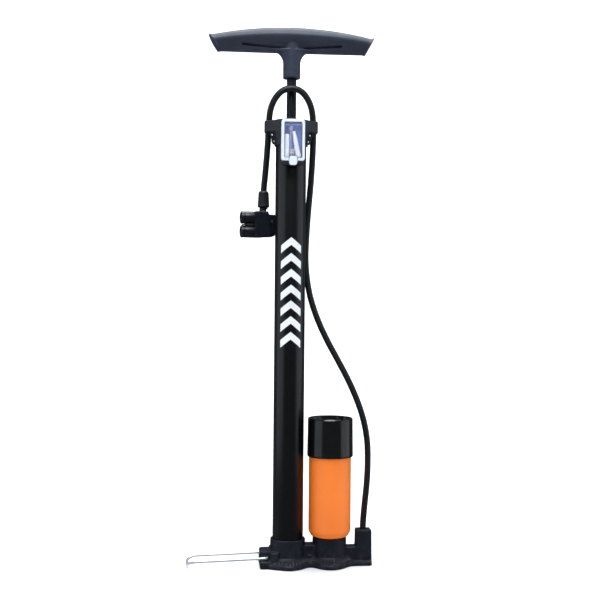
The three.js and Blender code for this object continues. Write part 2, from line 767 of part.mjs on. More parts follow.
function makeTub() {
  const roundTop = lidPivotRadius - lidWall - gap;
  const side = new THREE.Shape();
  side.moveTo(tubFront, tubFloor);
  side.lineTo(caseBack, tubFloor);
  side.lineTo(caseBack, lidPivotZ + roundTop);
  side.lineTo(caseBack - tubWall, lidPivotZ + roundTop);
  side.lineTo(caseBack - tubWall, lidPivotZ - 2.6);
  side.absarc(lidPivotY, lidPivotZ, roundTop, -Math.PI / 3, Math.PI);
  side.lineTo(tubFront, lidPivotZ - 4);
  side.closePath();
  const outer = raised(side, -tubHalf, tubHalf, 6).rotateZ(Math.PI / 2).rotateY(Math.PI / 2);
  const lip = drawnOut(
    outline([
      [-halfCase + 3.5, caseBottom],
      [halfCase - 3.5, caseBottom],
      [halfCase, caseBottom + 2.5],
      [halfCase, lidBottom - gap],
      [-halfCase, lidBottom - gap],
      [-halfCase, caseBottom + 2.5],
    ]),
    caseFront + 1.5,
    caseBack,
  );
  const bridge = block(-tubHalf, tubHalf, caseFront + lidDepth + gap, caseBack, lidBottom - 1, tubFloor + 1);
  const inside = block(
    -tubHalf + tubWall,
    tubHalf - tubWall,
    tubFront - overshoot,
    caseBack - tubWall,
    tubFloor + tubWall,
    caseTop + overshoot,
  );
  const thumbRoom = block(
    -tabHalf - 1.2,
    tabHalf + 1.2,
    caseFront - overshoot,
    caseFront + 5,
    caseBottom - overshoot,
    lidBottom,
  );
  return cut(
    join(outer, lip, bridge),
    inside,
    thumbRoom,
    alongX(cylinder(stubRadius + gap, -tubHalf - overshoot, tubHalf + overshoot, 16))
      .translate(0, lidPivotY, lidPivotZ),
  );
}
add("accessory_case", makeTub(), blackPlastic);

function makeLid() {
  const face = roundedRectangle(-halfCase, halfCase, lidBottom, caseTop, 2.6);
  const outside = drawnOut(face, caseFront, caseFront + lidDepth, 4);
  const inside = block(
    -halfCase + lidWall,
    halfCase - lidWall,
    caseFront + lidWall,
    caseFront + lidDepth + overshoot,
    lidBottom + lidWall,
    caseTop - lidWall,
  );
  // Behind the hinge line the upper wall is cut away, so that it clears the case as the lid turns.
  const behindHinge = block(
    -halfCase - overshoot,
    halfCase + overshoot,
    lidPivotY + 0.5,
    caseFront + lidDepth + overshoot,
    lidPivotZ - 3,
    caseTop + overshoot,
  );
  const tabFace = roundedRectangle(-tabHalf, tabHalf, lidBottom - 5, lidBottom + 5, 3);
  const tab = drawnOut(tabFace, caseFront - 1.2, caseFront + lidWall, 4);
  const stubReach = lidWall + gap + tubWall;
  const stubMiddle = halfCase - lidWall / 2 - stubReach / 2;
  const stub = (side) =>
    alongX(cylinder(stubRadius, -stubReach / 2, stubReach / 2, 12))
      .translate(side * stubMiddle, lidPivotY, lidPivotZ);
  return join(cut(outside, inside, behindHinge), tab, stub(1), stub(-1));
}
add("case_lid", makeLid(), clearPlastic);

// What the case holds, each standing on its floor or on the piece below.
const inCase = new THREE.Group();
inCase.position.set(0, (tubFront + caseBack - tubWall) / 2, tubFloor + tubWall + gap);
part.add(inCase);
const coneLean = THREE.MathUtils.degToRad(-11);
const coneFoot = 3.3;
const adapterHeight = 10;
const nozzleProfile = [[0, 0], [2.9, 0], [2.9, 8], [2.6, 8.6], [2.3, 26], [1.4, 27], [0, 27]];
const coneProfile = [[0, 0], [coneFoot, 0], [coneFoot, 4], [2.9, 4.5], [1.4, 30], [0, 30]];
const adapterProfile = [
  [0, 0], [2.8, 0], [2.8, 2], [2.2, 2.6], [2.2, 3.8], [2.8, 4.4], [2.8, 6], [2.2, 6.6], [2.2, 7.8],
  [2.8, 8.4], [2.8, adapterHeight], [0, adapterHeight],
];
// The needle ends below the room that the lid's upper wall sweeps as it opens.
const needleHeight = lidPivotZ - lidPivotRadius - 2 * gap - (tubFloor + tubWall + gap + adapterHeight + gap);
const needleProfile = [
  [0, 0],
  [0.8, 0],
  [0.8, needleHeight - 7.5],
  [1.5, needleHeight - 6.5],
  [1.5, needleHeight - 4.5],
  [2.7, needleHeight - 4.5],
  [2.7, needleHeight],
  [0, needleHeight],
];
add("straight_nozzle", turned(nozzleProfile, 20), whitePlastic, inCase).position.x = -7;
add("valve_adapter", turned(adapterProfile, 20), brass, inCase).position.x = -0.8;
add("ball_needle", turned(needleProfile, 16), steel, inCase)
  .position.set(-2.4, 0, adapterHeight + gap);
const cone = add("cone_nozzle", turned(coneProfile, 20), whitePlastic, inCase);
cone.position.set(6.6, 0, coneFoot * Math.sin(-coneLean));
cone.rotation.y = coneLean;

// ---- Pump head, in its own frame: -X towards the valve ports, the neck on Z ----
const head = new THREE.Group();
head.position.set(neckX, neckY, headHeight);
head.rotation.z = headTurn;
part.add(head);

const faceX = -11; // where the collars meet the head's body
const bodyRight = 15.4;
const bodyHalf = 8;
const neckRadius = 4.8;
const stubOuter = 5.6;
const stubLength = 6;
const plungerOuter = 3.8;
const cheekSlot = 4.3; // half the width of the slot that the lever works in
const leverPin = { x: 8.2, z: 4.4 };
const leverPinRadius = 1.25;
const camRadius = 5;
const camLobe = 7;
const yokeRight = leverPin.x - camRadius - gap;
const yokeThickness = 3;
const plungerEnd = faceX - stubLength - 2.2;
const plungerTravel = camLobe - camRadius;
const collarInside = stubOuter + gap;
const towardsPorts = (geometry, z) => geometry.rotateY(-Math.PI / 2).translate(faceX, 0, z);
const portHeights = { upper: portSpacing / 2, lower: -portSpacing / 2 };

function makeHeadBody() {
  const half = portSpacing / 2 + portRadius;
  const side = new THREE.Shape();
  side.moveTo(faceX, -half + 0.6);
  side.lineTo(bodyRight - 4, -half + 0.2);
  side.absarc(bodyRight - 4, -half + 4.2, 4, -Math.PI / 2, 0);
  side.lineTo(bodyRight, 10);
  side.absarc(bodyRight - 2, 10, 2, 0, Math.PI / 2);
  side.lineTo(5.5, 12);
  side.lineTo(4.5, half + 0.4);
  side.lineTo(faceX + 4, half + 0.4);
  side.lineTo(faceX, half - 0.4);
  side.closePath();
  const wallHalf = portSpacing / 2 - portRadius - gap; // fits between the two collars
  const body = join(
    drawnOut(side, -bodyHalf + 0.6, bodyHalf - 0.6, 4),
    block(faceX - collarLength + 2, faceX + 1, 2 - portRadius, portRadius - 2, -wallHalf, wallHalf),
    cylinder(neckRadius, half - 3, neckTop),
    ...Object.values(portHeights).map((z) => towardsPorts(cylinder(stubOuter, -2, stubLength), z)),
  );
  const slotLeft = yokeRight - yokeThickness - plungerTravel - 2 * gap;
  return cut(
    body,
    block(slotLeft, bodyRight + overshoot, -cheekSlot, cheekSlot, -half + 3.5, half - 2.2),
    block(yokeRight - 0.2, bodyRight + overshoot, -cheekSlot, cheekSlot, 0, half + 2),
    ...Object.values(portHeights).map((z) =>
      towardsPorts(cylinder(plungerOuter + gap, -14, stubLength + overshoot), z)),
    cylinder(1.5, half - 4, neckTop + overshoot, 12),
    alongY(cylinder(leverPinRadius + gap, -bodyHalf - overshoot, bodyHalf + overshoot, 16))
      .translate(leverPin.x, 0, leverPin.z),
  );
}

// A port collar screws over a stub of the body and keeps the rubber grommet in front of it.
const collar = (mouth) => turned([
  [collarInside, gap],
  [portRadius, gap],
  [portRadius, collarLength - 0.8],
  [portRadius - 0.8, collarLength],
  [mouth, collarLength],
  [mouth, collarLength - 1.6],
  [collarInside, collarLength - 1.6],
], 32);
const grommetBack = faceX - plungerEnd + plungerTravel + gap;
const grommet = (inner) => ring(inner, collarInside - gap, grommetBack, collarLength - 1.6 - gap);

add("head_body", makeHeadBody(), blackPlastic, head);
add("upper_collar", towardsPorts(collar(4.4), portHeights.upper), blackPlastic, head);
add("lower_collar", towardsPorts(collar(3.9), portHeights.lower), blackPlastic, head);
add("upper_grommet", towardsPorts(grommet(3.7), portHeights.upper), rubber, head);
add("lower_grommet", towardsPorts(grommet(3.25), portHeights.lower), rubber, head);

function makePlunger() {
  const tube = (z) => towardsPorts(cylinder(plungerOuter, faceX - yokeRight, faceX - plungerEnd), z);
  const boreStart = faceX - yokeRight + yokeThickness;
  const bore = (z) => towardsPorts(cylinder(1.7, boreStart, faceX - plungerEnd + overshoot, 12), z);
  const yoke = block(yokeRight - yokeThickness, yokeRight, -cheekSlot + gap, cheekSlot - gap, -9, 9);
  return cut(
    join(yoke, tube(portHeights.upper), tube(portHeights.lower)),
    bore(portHeights.upper),
    bore(portHeights.lower),
  );
}
add("clamp_plunger", makePlunger(), nylon, head);

// The thumb lever: an eccentric cam on the pin and an arm that reaches back behind the barrel.
const leverSwing = THREE.MathUtils.degToRad(75);
const leverLength = 38;
function makeLever() {
  const lobeAngle = Math.PI - leverSwing;
  const shape = new THREE.Shape();
  const turnsOut = 24;
  const swell = (angle) => {
    const away = Math.abs(angle - lobeAngle) / leverSwing;
    return camRadius + (camLobe - camRadius) * Math.max(0, 1 - away);
  };
  shape.moveTo(0, camRadius);
  for (let i = 0; i <= turnsOut; i++) {
    const angle = THREE.MathUtils.lerp(lobeAngle - 0.2, 1.5 * Math.PI, i / turnsOut);
    shape.lineTo(swell(angle) * Math.cos(angle), swell(angle) * Math.sin(angle));
  }
  shape.lineTo(12, -6);
  shape.quadraticCurveTo(leverLength - 12, -6.5, leverLength - 2, -3.2);
  shape.absarc(leverLength - 1.5, -1.6, 1.7, -Math.PI / 2, Math.PI / 2);
  shape.quadraticCurveTo(leverLength - 14, -1.6, 14, -1.2);
  shape.lineTo(4, -0.4);
  shape.closePath();
  const arm = drawnOut(shape, -cheekSlot + gap, cheekSlot - gap, 6);
  return cut(arm, alongY(cylinder(leverPinRadius + gap, -bodyHalf, bodyHalf, 16)))
    .translate(leverPin.x, 0, leverPin.z);
}
add("lever", makeLever(), blackPlastic, head);
add("lever_pin", alongY(cylinder(leverPinRadius, -bodyHalf + 0.8, bodyHalf - 0.8, 12))
  .translate(leverPin.x, 0, leverPin.z), steel, head);

// The ribbed nut that clamps the hose on the neck.
const hoseNutBottom = neckTop + gap;
const hoseNutTop = 38.9;
const headToHose = new THREE.Matrix4().makeRotationZ(-headTurn)
  .multiply(new THREE.Matrix4().makeTranslation(-neckX, -neckY, -headHeight));
add("hose_nut", cut(
  turned([
    [0, hoseNutBottom],
    [6.2, hoseNutBottom],
    [6.9, hoseNutBottom + 1.2],
    [6, hoseNutTop - 1.6],
    [4.8, hoseNutTop],
    [0, hoseNutTop],
  ]),
  hoseTool.clone().applyMatrix4(headToHose),
  cylinder(hoseRadius + gap, hoseNutBottom - overshoot, hoseNutBottom + 3),
), rubber, head);

add("hose", bar(hoseCurve, hoseRadius, hoseSteps, 8), rubber);

export default part;
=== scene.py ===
import math

import bmesh
import bpy
import numpy as np
from mathutils import Matrix, Vector


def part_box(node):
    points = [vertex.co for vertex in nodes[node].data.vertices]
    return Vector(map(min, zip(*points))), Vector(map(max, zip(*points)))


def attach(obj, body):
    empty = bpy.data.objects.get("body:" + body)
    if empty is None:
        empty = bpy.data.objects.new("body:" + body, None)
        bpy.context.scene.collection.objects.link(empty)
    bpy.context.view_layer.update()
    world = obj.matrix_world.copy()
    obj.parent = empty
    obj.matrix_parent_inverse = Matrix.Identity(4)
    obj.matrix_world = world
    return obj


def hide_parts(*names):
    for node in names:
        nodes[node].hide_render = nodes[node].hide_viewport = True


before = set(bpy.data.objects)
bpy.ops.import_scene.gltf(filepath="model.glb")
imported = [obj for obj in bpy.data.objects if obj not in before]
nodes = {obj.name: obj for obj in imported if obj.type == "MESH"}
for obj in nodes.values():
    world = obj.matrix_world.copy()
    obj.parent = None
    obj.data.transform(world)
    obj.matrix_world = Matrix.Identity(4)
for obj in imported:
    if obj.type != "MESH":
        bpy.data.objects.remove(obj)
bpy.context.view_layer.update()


mm = 0.001
quarterTurn = Matrix.Rotation(math.pi / 2, 4, "X")


def boxOf(node):
    low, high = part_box(node)
    return np.array(low), np.array(high)


def middleOf(node):
    low, high = boxOf(node)
    return (low + high) / 2


barrelLow, barrelHigh = boxOf("barrel")
barrelRadius = (barrelHigh[0] - barrelLow[0]) / 2
tankLow, tankHigh = boxOf("tank")
tankAxis = middleOf("tank")[:2]
tankRadius = (tankHigh[0] - tankLow[0]) / 2
print("frame loaded:", len(nodes), "nodes")

# camera: level with the middle of the pump, a little to its left

cameraSetup = dict(distance=1.192, height=0.3087, azimuth=-5.0, lens=62.5, sideways=0.0118, roll=0.5, tilt=0.27)


def placeCamera(setup):
    data = bpy.data.cameras.new("camera")
    data.lens = setup["lens"]
    data.sensor_width = 36
    data.clip_start = 0.05
    camera = bpy.data.objects.new("camera", data)
    bpy.context.scene.collection.objects.link(camera)
    turn = Matrix.Rotation(math.radians(setup["azimuth"]), 4, "Z")
    stand = turn @ Vector((setup["sideways"], -setup["distance"], 0))
    stand.z = setup["height"]
    aim = turn @ Matrix.Rotation(math.radians(90 - setup["tilt"]), 4, "X")
    camera.matrix_world = Matrix.Translation(stand) @ aim @ Matrix.Rotation(math.radians(setup["roll"]), 4, "Z")
    bpy.context.scene.camera = camera


placeCamera(cameraSetup)

# mesh making


def pieceFrom(name, points, faces, smoothAngle=32):
    # points is an array of any shape ending in 3; faces is a list of corner lists
    mesh = bpy.data.meshes.new(name)
    mesh.from_pydata(np.asarray(points, float).reshape(-1, 3).tolist(), [], faces)
    work = bmesh.new()
    work.from_mesh(mesh)
    bmesh.ops.remove_doubles(work, verts=work.verts, dist=2e-7)
    bmesh.ops.dissolve_degenerate(work, edges=work.edges, dist=1e-7)
    bmesh.ops.recalc_face_normals(work, faces=work.faces)
    work.to_mesh(mesh)
    work.free()
    mesh.shade_smooth()
    mesh.set_sharp_from_angle(angle=math.radians(smoothAngle))
    piece = bpy.data.objects.new(name, mesh)
    bpy.context.scene.collection.objects.link(piece)
    return piece


def gridFaces(rows, columns, rowsClose=False, columnsClose=True):
    # corner i, j of the grid is number i * columns + j; each square joins it to its next neighbours
    i, j = np.meshgrid(
        np.arange(rows if rowsClose else rows - 1),
        np.arange(columns if columnsClose else columns - 1),
        indexing="ij",
    )
    nextI, nextJ = (i + 1) % rows, (j + 1) % columns
    corners = [i * columns + j, i * columns + nextJ, nextI * columns + nextJ, nextI * columns + j]
    return np.stack(corners, -1).reshape(-1, 4).tolist()


def rounded(corners, steps=6):
    # a line of (a, b, r) corners, each replaced by an arc of radius r that touches both of its sides
    corners = [tuple(c) + (0,) * (3 - len(c)) for c in corners]
    line = [np.array([corners[0][:2]])]
    for before, here, after in zip(corners, corners[1:], corners[2:]):
        corner, radius = np.array(here[:2]), here[2]
        if radius <= 0:
            line.append(corner[None])
            continue
        inward = np.array(before[:2]) - corner
        outward = np.array(after[:2]) - corner
        inward /= np.linalg.norm(inward)
        outward /= np.linalg.norm(outward)
        half = math.acos(np.clip(inward @ outward, -1, 1)) / 2
        middle = inward + outward
        middle /= np.linalg.norm(middle)
        centre = corner + middle * radius / math.sin(half)
        start = corner + inward * radius / math.tan(half) - centre
        sweep = math.pi - 2 * half
        turn = np.sign(start[0] * (-middle[1]) - start[1] * (-middle[0])) or 1
        angles = np.linspace(0, turn * sweep, steps + 1)
        c, s = np.cos(angles), np.sin(angles)
        line.append(centre + np.stack([c * start[0] - s * start[1], s * start[0] + c * start[1]], 1))
    line.append(np.array([corners[-1][:2]]))
    return np.concatenate(line)


def roundedLoop(corners, steps=6):
    # the same for a closed outline: it starts and ends halfway along its first side
    first, second = np.array(corners[0][:2]), np.array(corners[1][:2])
    start = tuple((first + second) / 2)
    return rounded([start, *corners[1:], corners[0], start], steps)[:-1]


def turned(name, profile, at=(0, 0), sides=96, closed=False, **options):
    # every profile point (r, z) goes round the axis: x = r cos a, y = r sin a
    profile = np.asarray(profile, float)
    angle = np.linspace(0, 2 * np.pi, sides, endpoint=False)
    r, z = profile[:, :1], profile[:, 1:]
    points = np.stack([at[0] + r * np.cos(angle), at[1] + r * np.sin(angle), z + 0 * angle], -1)
    return pieceFrom(name, points, gridFaces(len(profile), sides, rowsClose=closed), **options)


def plainRod(name, radius, low, high, at=(0, 0), sides=96):
    # an upright cylinder from height low to height high
    return turned(name, [(0, low), (radius, low), (radius, high), (0, high)], at, sides)


def crossRod(name, radius, half, at=(0, 0, 0)):
    # a cylinder along y that reaches half to both sides of its place
    piece = plainRod(name, radius, -half, half, sides=32)
    piece.data.transform(Matrix.Translation(at) @ quarterTurn)
    return piece


def raised(name, outline, profile, **options):
    # an outline in x and y carried up a profile of (inset, z): each level is the outline moved in by inset
    outline = np.asarray(outline, float)
    along = np.roll(outline, -1, 0) - np.roll(outline, 1, 0)
    normal = np.stack([along[:, 1], -along[:, 0]], 1)
    normal /= np.linalg.norm(normal, axis=1, keepdims=True)
    area = np.sum(outline[:, 0] * np.roll(outline[:, 1], -1) - outline[:, 1] * np.roll(outline[:, 0], -1))
    normal *= np.sign(area)
    inset, z = np.asarray(profile, float).T
    flat = outline[None] - inset[:, None, None] * normal[None]
    points = np.concatenate([flat, np.broadcast_to(z[:, None, None], flat.shape[:2] + (1,))], -1)
    count = len(outline)
    faces = gridFaces(len(z), count)
    faces += [list(range(count))[::-1], list(range((len(z) - 1) * count, len(z) * count))]
    return pieceFrom(name, points, faces, **options)


def upright(name, outline, profile):
    # raised() stood on its side: the outline lies in x and z, and the profile's heights run towards -y
    piece = raised(name, outline, profile)
    piece.data.transform(quarterTurn)
    return piece


def softEdges(low, high, radius, steps=4):
    # the profile for raised(): straight sides with a quarter round of that radius at both ends
    a = np.linspace(0, np.pi / 2, steps + 1)
    inset, rise = radius * (1 - np.sin(a)), radius * (1 - np.cos(a))
    lower = np.stack([inset, low + rise], 1)
    upper = np.stack([inset[::-1], high - rise[::-1]], 1)
    return np.concatenate([lower, upper])


def framesAlong(path, reference):
    # two directions square to the path: one is also square to the reference, the other to the first
    tangent = np.gradient(path, axis=0)
    tangent /= np.linalg.norm(tangent, axis=1, keepdims=True)
    side = np.cross(reference, tangent)
    side /= np.linalg.norm(side, axis=1, keepdims=True)
    return side, np.cross(tangent, side)


def tubeAlong(name, path, radius, sides=20, reference=(0, 1, 0), **options):
    # a circle of that radius carried along the path, square to it, its ends drawn in to a point
    path = np.asarray(path, float)
    side, up = framesAlong(path, np.array(reference, float))
    angle = np.linspace(0, 2 * np.pi, sides, endpoint=False)
    radius = np.broadcast_to(radius, len(path)).astype(float)
    ring = np.cos(angle)[None, :, None] * side[:, None] + np.sin(angle)[None, :, None] * up[:, None]
    points = path[:, None] + radius[:, None, None] * ring
    first, last = (np.repeat(end[:, None], sides, 1) for end in (path[:1], path[-1:]))
    points = np.concatenate([first, points, last])
    return pieceFrom(name, points, gridFaces(len(points), sides), **options)


def rectangle(left, bottom, right, top, radius, steps):
    return roundedLoop([
        (left, bottom, radius), (right, bottom, radius), (right, top, radius), (left, top, radius)], steps)


def blockPiece(name, low, high, radius=0.4 * mm):
    # a rectangular block with rounded upright edges and rounded rims
    return raised(name, rectangle(*low[:2], *high[:2], radius, 4), softEdges(low[2], high[2], radius))


def smoothCurve(points, count):
    # a centripetal Catmull-Rom spline: each stretch's time is the square root of its length,
    # then the points are spread evenly along it
    points = np.asarray(points, float)
    points = np.concatenate([[2 * points[0] - points[1]], points, [2 * points[-1] - points[-2]]])
    gaps = np.sqrt(np.linalg.norm(np.diff(points, axis=0), axis=1))
    u = np.linspace(0, 1, 24, endpoint=False)[None, :, None]
    p0, p1, p2, p3 = (points[k : len(points) - 3 + k, None] for k in range(4))
    d0, d1, d2 = (gaps[k : len(gaps) - 2 + k, None, None] for k in range(3))
    m1 = (p1 - p0) / d0 - (p2 - p0) / (d0 + d1) + (p2 - p1) / d1
    m2 = (p2 - p1) / d1 - (p3 - p1) / (d1 + d2) + (p3 - p2) / d2
    m1, m2 = m1 * d1, m2 * d1
    curve = p1 + m1 * u + (3 * (p2 - p1) - 2 * m1 - m2) * u**2 + (2 * (p1 - p2) + m1 + m2) * u**3
    return evenly(np.concatenate([curve.reshape(-1, 3), points[-2:-1]]), count)


def evenly(path, count):
    travelled = np.concatenate([[0], np.cumsum(np.linalg.norm(np.diff(path, axis=0), axis=1))])
    at = np.linspace(0, travelled[-1], count)
    return np.stack([np.interp(at, travelled, path[:, k]) for k in range(path.shape[1])], 1)


def lengthOf(path):
    return float(np.linalg.norm(np.diff(path, axis=0), axis=1).sum())


def joined(name, shells):
    # several closed shells as one mesh; the separate objects go away
    work = bmesh.new()
    for shell in shells:
        work.from_mesh(shell.data)
        bpy.data.objects.remove(shell)
    mesh = bpy.data.meshes.new(name)
    work.to_mesh(mesh)
    work.free()
    piece = bpy.data.objects.new(name, mesh)
    bpy.context.scene.collection.objects.link(piece)
    return piece


def applied(piece, smoothAngle=None):
    # bakes the modifiers into the mesh
    graph = bpy.context.evaluated_depsgraph_get()
    mesh = bpy.data.meshes.new_from_object(piece.evaluated_get(graph))
    piece.modifiers.clear()
    piece.data = mesh
    mesh.shade_smooth()
    if smoothAngle:
        mesh.set_sharp_from_angle(angle=math.radians(smoothAngle))
    return piece


def carved(piece, cutters, operation="DIFFERENCE"):
    for cutter in cutters:
        step = piece.modifiers.new("carve", "BOOLEAN")
        step.operation, step.object, step.solver = operation, cutter, "MANIFOLD"
    applied(piece)
    for cutter in cutters:
        bpy.data.objects.remove(cutter)
    return piece


def moulded(name, shells, cutters=(), grain=0.6 * mm, passes=3):
    # fuses the shells, cuts the hollows, then remeshes at the grain size and relaxes the surface,
    # so that every joint between shells gets the small fillet of a moulding
    piece = carved(shells[0], shells[1:], "UNION")
    if cutters:
        carved(piece, cutters)
    remesh = piece.modifiers.new("remesh", "REMESH")
    remesh.mode, remesh.voxel_size, remesh.adaptivity = "VOXEL", grain, 0
    relax = piece.modifiers.new("relax", "SMOOTH")
    relax.factor, relax.iterations = 0.5, passes
    applied(piece)
    piece.name = piece.data.name = name
    return piece


# materials


def nodeGroup(name, inputs, outputs):
    group = bpy.data.node_groups.new(name, "ShaderNodeTree")
    for label, kind, value in inputs:
        socket = group.interface.new_socket(label, in_out="INPUT", socket_type=kind)
        if value is not None:
            socket.default_value = value
    for label, kind in outputs:
        group.interface.new_socket(label, in_out="OUTPUT", socket_type=kind)
    return group, group.nodes.new("NodeGroupInput"), group.nodes.new("NodeGroupOutput")


class Wiring:
    # a thin hand on a node tree: add a node, set its sockets, link what is given as a socket
    def __init__(self, tree):
        self.tree = tree

    def add(self, kind, settings=None, **inputs):
        # i0, i1 and so on are sockets by number; any other key is a socket's name, with _ for a space
        node = self.tree.nodes.new(kind)
        for key, value in (settings or {}).items():
            setattr(node, key, value)
        for key, value in inputs.items():
            byNumber = key[0] == "i" and key[1:].isdigit()
            self.put(value, node.inputs[int(key[1:]) if byNumber else key.replace("_", " ")])
        return node

    def put(self, value, socket):
        if isinstance(value, bpy.types.NodeSocket):
            self.tree.links.new(value, socket)
        else:
            socket.default_value = value


def math2(wiring, operation, a, b=0.0, clamp=False):
    return wiring.add("ShaderNodeMath", dict(operation=operation, use_clamp=clamp), i0=a, i1=b).outputs[0]


def spread(wiring, value, low, high, toLow=0.0, toHigh=1.0):
    # maps low..high to toLow..toHigh and stops at both ends
    return wiring.add(
        "ShaderNodeMapRange", dict(clamp=True),
        Value=value, From_Min=low, From_Max=high, To_Min=toLow, To_Max=toHigh,
    ).outputs["Result"]


def noiseAt(wiring, vector, scale, detail=3.0, roughness=0.55):
    node = wiring.add("ShaderNodeTexNoise", None, Vector=vector, Scale=scale, Detail=detail, Roughness=roughness)
    return node.outputs[0]


def makeGrainGroup():
    # moulded or sprayed surface: a fine even grain for the bump, broad cloudiness for colour and gloss
    group, start, end = nodeGroup(
        "surfaceGrain",
        [("Vector", "NodeSocketVector", None), ("Grain Scale", "NodeSocketFloat", 2500.0),
         ("Cloud Scale", "NodeSocketFloat", 40.0)],
        [("Grain", "NodeSocketFloat"), ("Cloud", "NodeSocketFloat")],
    )
    w = Wiring(group)
    grain = noiseAt(w, start.outputs["Vector"], start.outputs["Grain Scale"], 2.0)
    cloud = noiseAt(w, start.outputs["Vector"], start.outputs["Cloud Scale"], 3.0)
    w.put(grain, end.inputs["Grain"])
    w.put(spread(w, cloud, 0.35, 0.65), end.inputs["Cloud"])
    return group


def makeWearGroup():
    # handling marks: thin hairline scratches in two directions, and soft rubbed patches
    group, start, end = nodeGroup(
        "handlingWear",
        [("Vector", "NodeSocketVector", None), ("Amount", "NodeSocketFloat", 0.5)],
        [("Scratches", "NodeSocketFloat"), ("Rubbed", "NodeSocketFloat")],
    )
    w = Wiring(group)
    scratches = None
    for turn, stretch in ((0.5, (700, 30, 60)), (-0.9, (40, 800, 50))):
        placed = w.add(
            "ShaderNodeMapping", None, Vector=start.outputs["Vector"], Rotation=(0.2, turn, 0.4), Scale=stretch)
        lines = spread(w, noiseAt(w, placed.outputs[0], 1.0, 1.0), 0.70, 0.78)
        scratches = lines if scratches is None else math2(w, "MAXIMUM", scratches, lines)
    patch = spread(w, noiseAt(w, start.outputs["Vector"], 28.0, 4.0), 0.56, 0.72)
    marked = math2(w, "MULTIPLY", scratches, patch)
    w.put(math2(w, "MULTIPLY", marked, start.outputs["Amount"]), end.inputs["Scratches"])
    w.put(math2(w, "MULTIPLY", patch, start.outputs["Amount"]), end.inputs["Rubbed"])
    return group


def makeDustGroup():
    # dust that settles near the floor: strongest at the lowest height, broken up by noise
    group, start, end = nodeGroup(
        "floorDust",
        [("Vector", "NodeSocketVector", None), ("Height", "NodeSocketFloat", 0.03)],
        [("Dust", "NodeSocketFloat")],
    )
    w = Wiring(group)
    z = w.add("ShaderNodeSeparateXYZ", None, Vector=start.outputs["Vector"]).outputs["Z"]
    low = math2(w, "SUBTRACT", 1.0, math2(w, "DIVIDE", z, start.outputs["Height"]), clamp=True)
    speck = spread(w, noiseAt(w, start.outputs["Vector"], 160.0, 5.0, 0.7), 0.42, 0.7)
    w.put(math2(w, "MULTIPLY", low, speck), end.inputs["Dust"])
    return group


def makeRingsGroup():
    # turned or drawn metal: very fine rings about Z, or lines along it
    group, start, end = nodeGroup(
        "toolMarks",
        [("Vector", "NodeSocketVector", None), ("Rings", "NodeSocketFloat", 1.0)],
        [("Marks", "NodeSocketFloat")],
    )
    w = Wiring(group)
    xyz = w.add("ShaderNodeSeparateXYZ", None, Vector=start.outputs["Vector"])
    ringsAt = w.add("ShaderNodeCombineXYZ", None, X=0.0, Y=0.0, Z=xyz.outputs["Z"]).outputs[0]
    linesAt = w.add("ShaderNodeCombineXYZ", None, X=xyz.outputs["X"], Y=xyz.outputs["Y"], Z=0.0).outputs[0]
    rings, lines = noiseAt(w, ringsAt, 3000.0, 2.0), noiseAt(w, linesAt, 2500.0, 2.0)
    mix = w.add("ShaderNodeMix", dict(data_type="FLOAT"), Factor=start.outputs["Rings"])
    w.put(lines, mix.inputs["A"])
    w.put(rings, mix.inputs["B"])
    w.put(mix.outputs["Result"], end.inputs["Marks"])
    return group


grainGroup, wearGroup = makeGrainGroup(), makeWearGroup()
dustGroup, marksGroup = makeDustGroup(), makeRingsGroup()


def mixColour(wiring, factor, a, b):
    # the node's colour sockets are its inputs 6 and 7 and its output 2
    return wiring.add("ShaderNodeMix", dict(data_type="RGBA"), Factor=factor, i6=a, i7=b).outputs[2]


def tone(red, green, blue):
    # an sRGB colour from 0 to 255, as the linear values that a shader takes
    share = np.array([red, green, blue]) / 255
    linear = np.where(share <= 0.04045, share / 12.92, ((share + 0.055) / 1.055) ** 2.4)
    return (*[float(v) for v in linear], 1.0)


def surface(name, colour, deep, roughness, grainScale=2500.0, grainDepth=2e-5, cloudScale=40.0,
            wear=0.0, wearColour=(0.35, 0.36, 0.38, 1), dust=0.0, marks=0.0, rings=1.0, roughSpread=0.08,
            shader=None):
    # colour clouds between two close tones; the grain feeds the bump; wear lightens and dulls;
    # dust greys what is near the floor
    material = bpy.data.materials.new(name)
    material.use_nodes = True
    w = Wiring(material.node_tree)
    principled = material.node_tree.nodes["Principled BSDF"]
    place = w.add("ShaderNodeTexCoord").outputs["Object"]
    grain = w.add("ShaderNodeGroup", dict(node_tree=grainGroup),
                  Vector=place, Grain_Scale=grainScale, Cloud_Scale=cloudScale)
    base = mixColour(w, grain.outputs["Cloud"], tone(*colour), tone(*deep))
    rough = spread(w, grain.outputs["Cloud"], 0.0, 1.0, roughness - roughSpread / 2, roughness + roughSpread / 2)
    height = grain.outputs["Grain"]
    if wear:
        worn = w.add("ShaderNodeGroup", dict(node_tree=wearGroup), Vector=place, Amount=wear)
        base = mixColour(w, worn.outputs["Scratches"], base, wearColour)
        rough = math2(w, "ADD", rough, math2(w, "MULTIPLY", worn.outputs["Rubbed"], 0.12), clamp=True)
    if dust:
        dusty = w.add("ShaderNodeGroup", dict(node_tree=dustGroup), Vector=place, Height=0.03)
        settled = math2(w, "MULTIPLY", dusty.outputs["Dust"], dust)
        base = mixColour(w, settled, base, (0.30, 0.29, 0.28, 1))
        rough = math2(w, "ADD", rough, math2(w, "MULTIPLY", settled, 0.4), clamp=True)
    if marks:
        tool = w.add("ShaderNodeGroup", dict(node_tree=marksGroup), Vector=place, Rings=rings)
        height = math2(w, "ADD", height, math2(w, "MULTIPLY", tool.outputs["Marks"], marks))
    bump = w.add("ShaderNodeBump", None, Strength=1.0, Distance=grainDepth, Height=height)
    w.put(base, principled.inputs["Base Color"])
    w.put(rough, principled.inputs["Roughness"])
    w.put(bump.outputs[0], principled.inputs["Normal"])
    for socket, value in (shader or {}).items():
        principled.inputs[socket].default_value = value
    return material


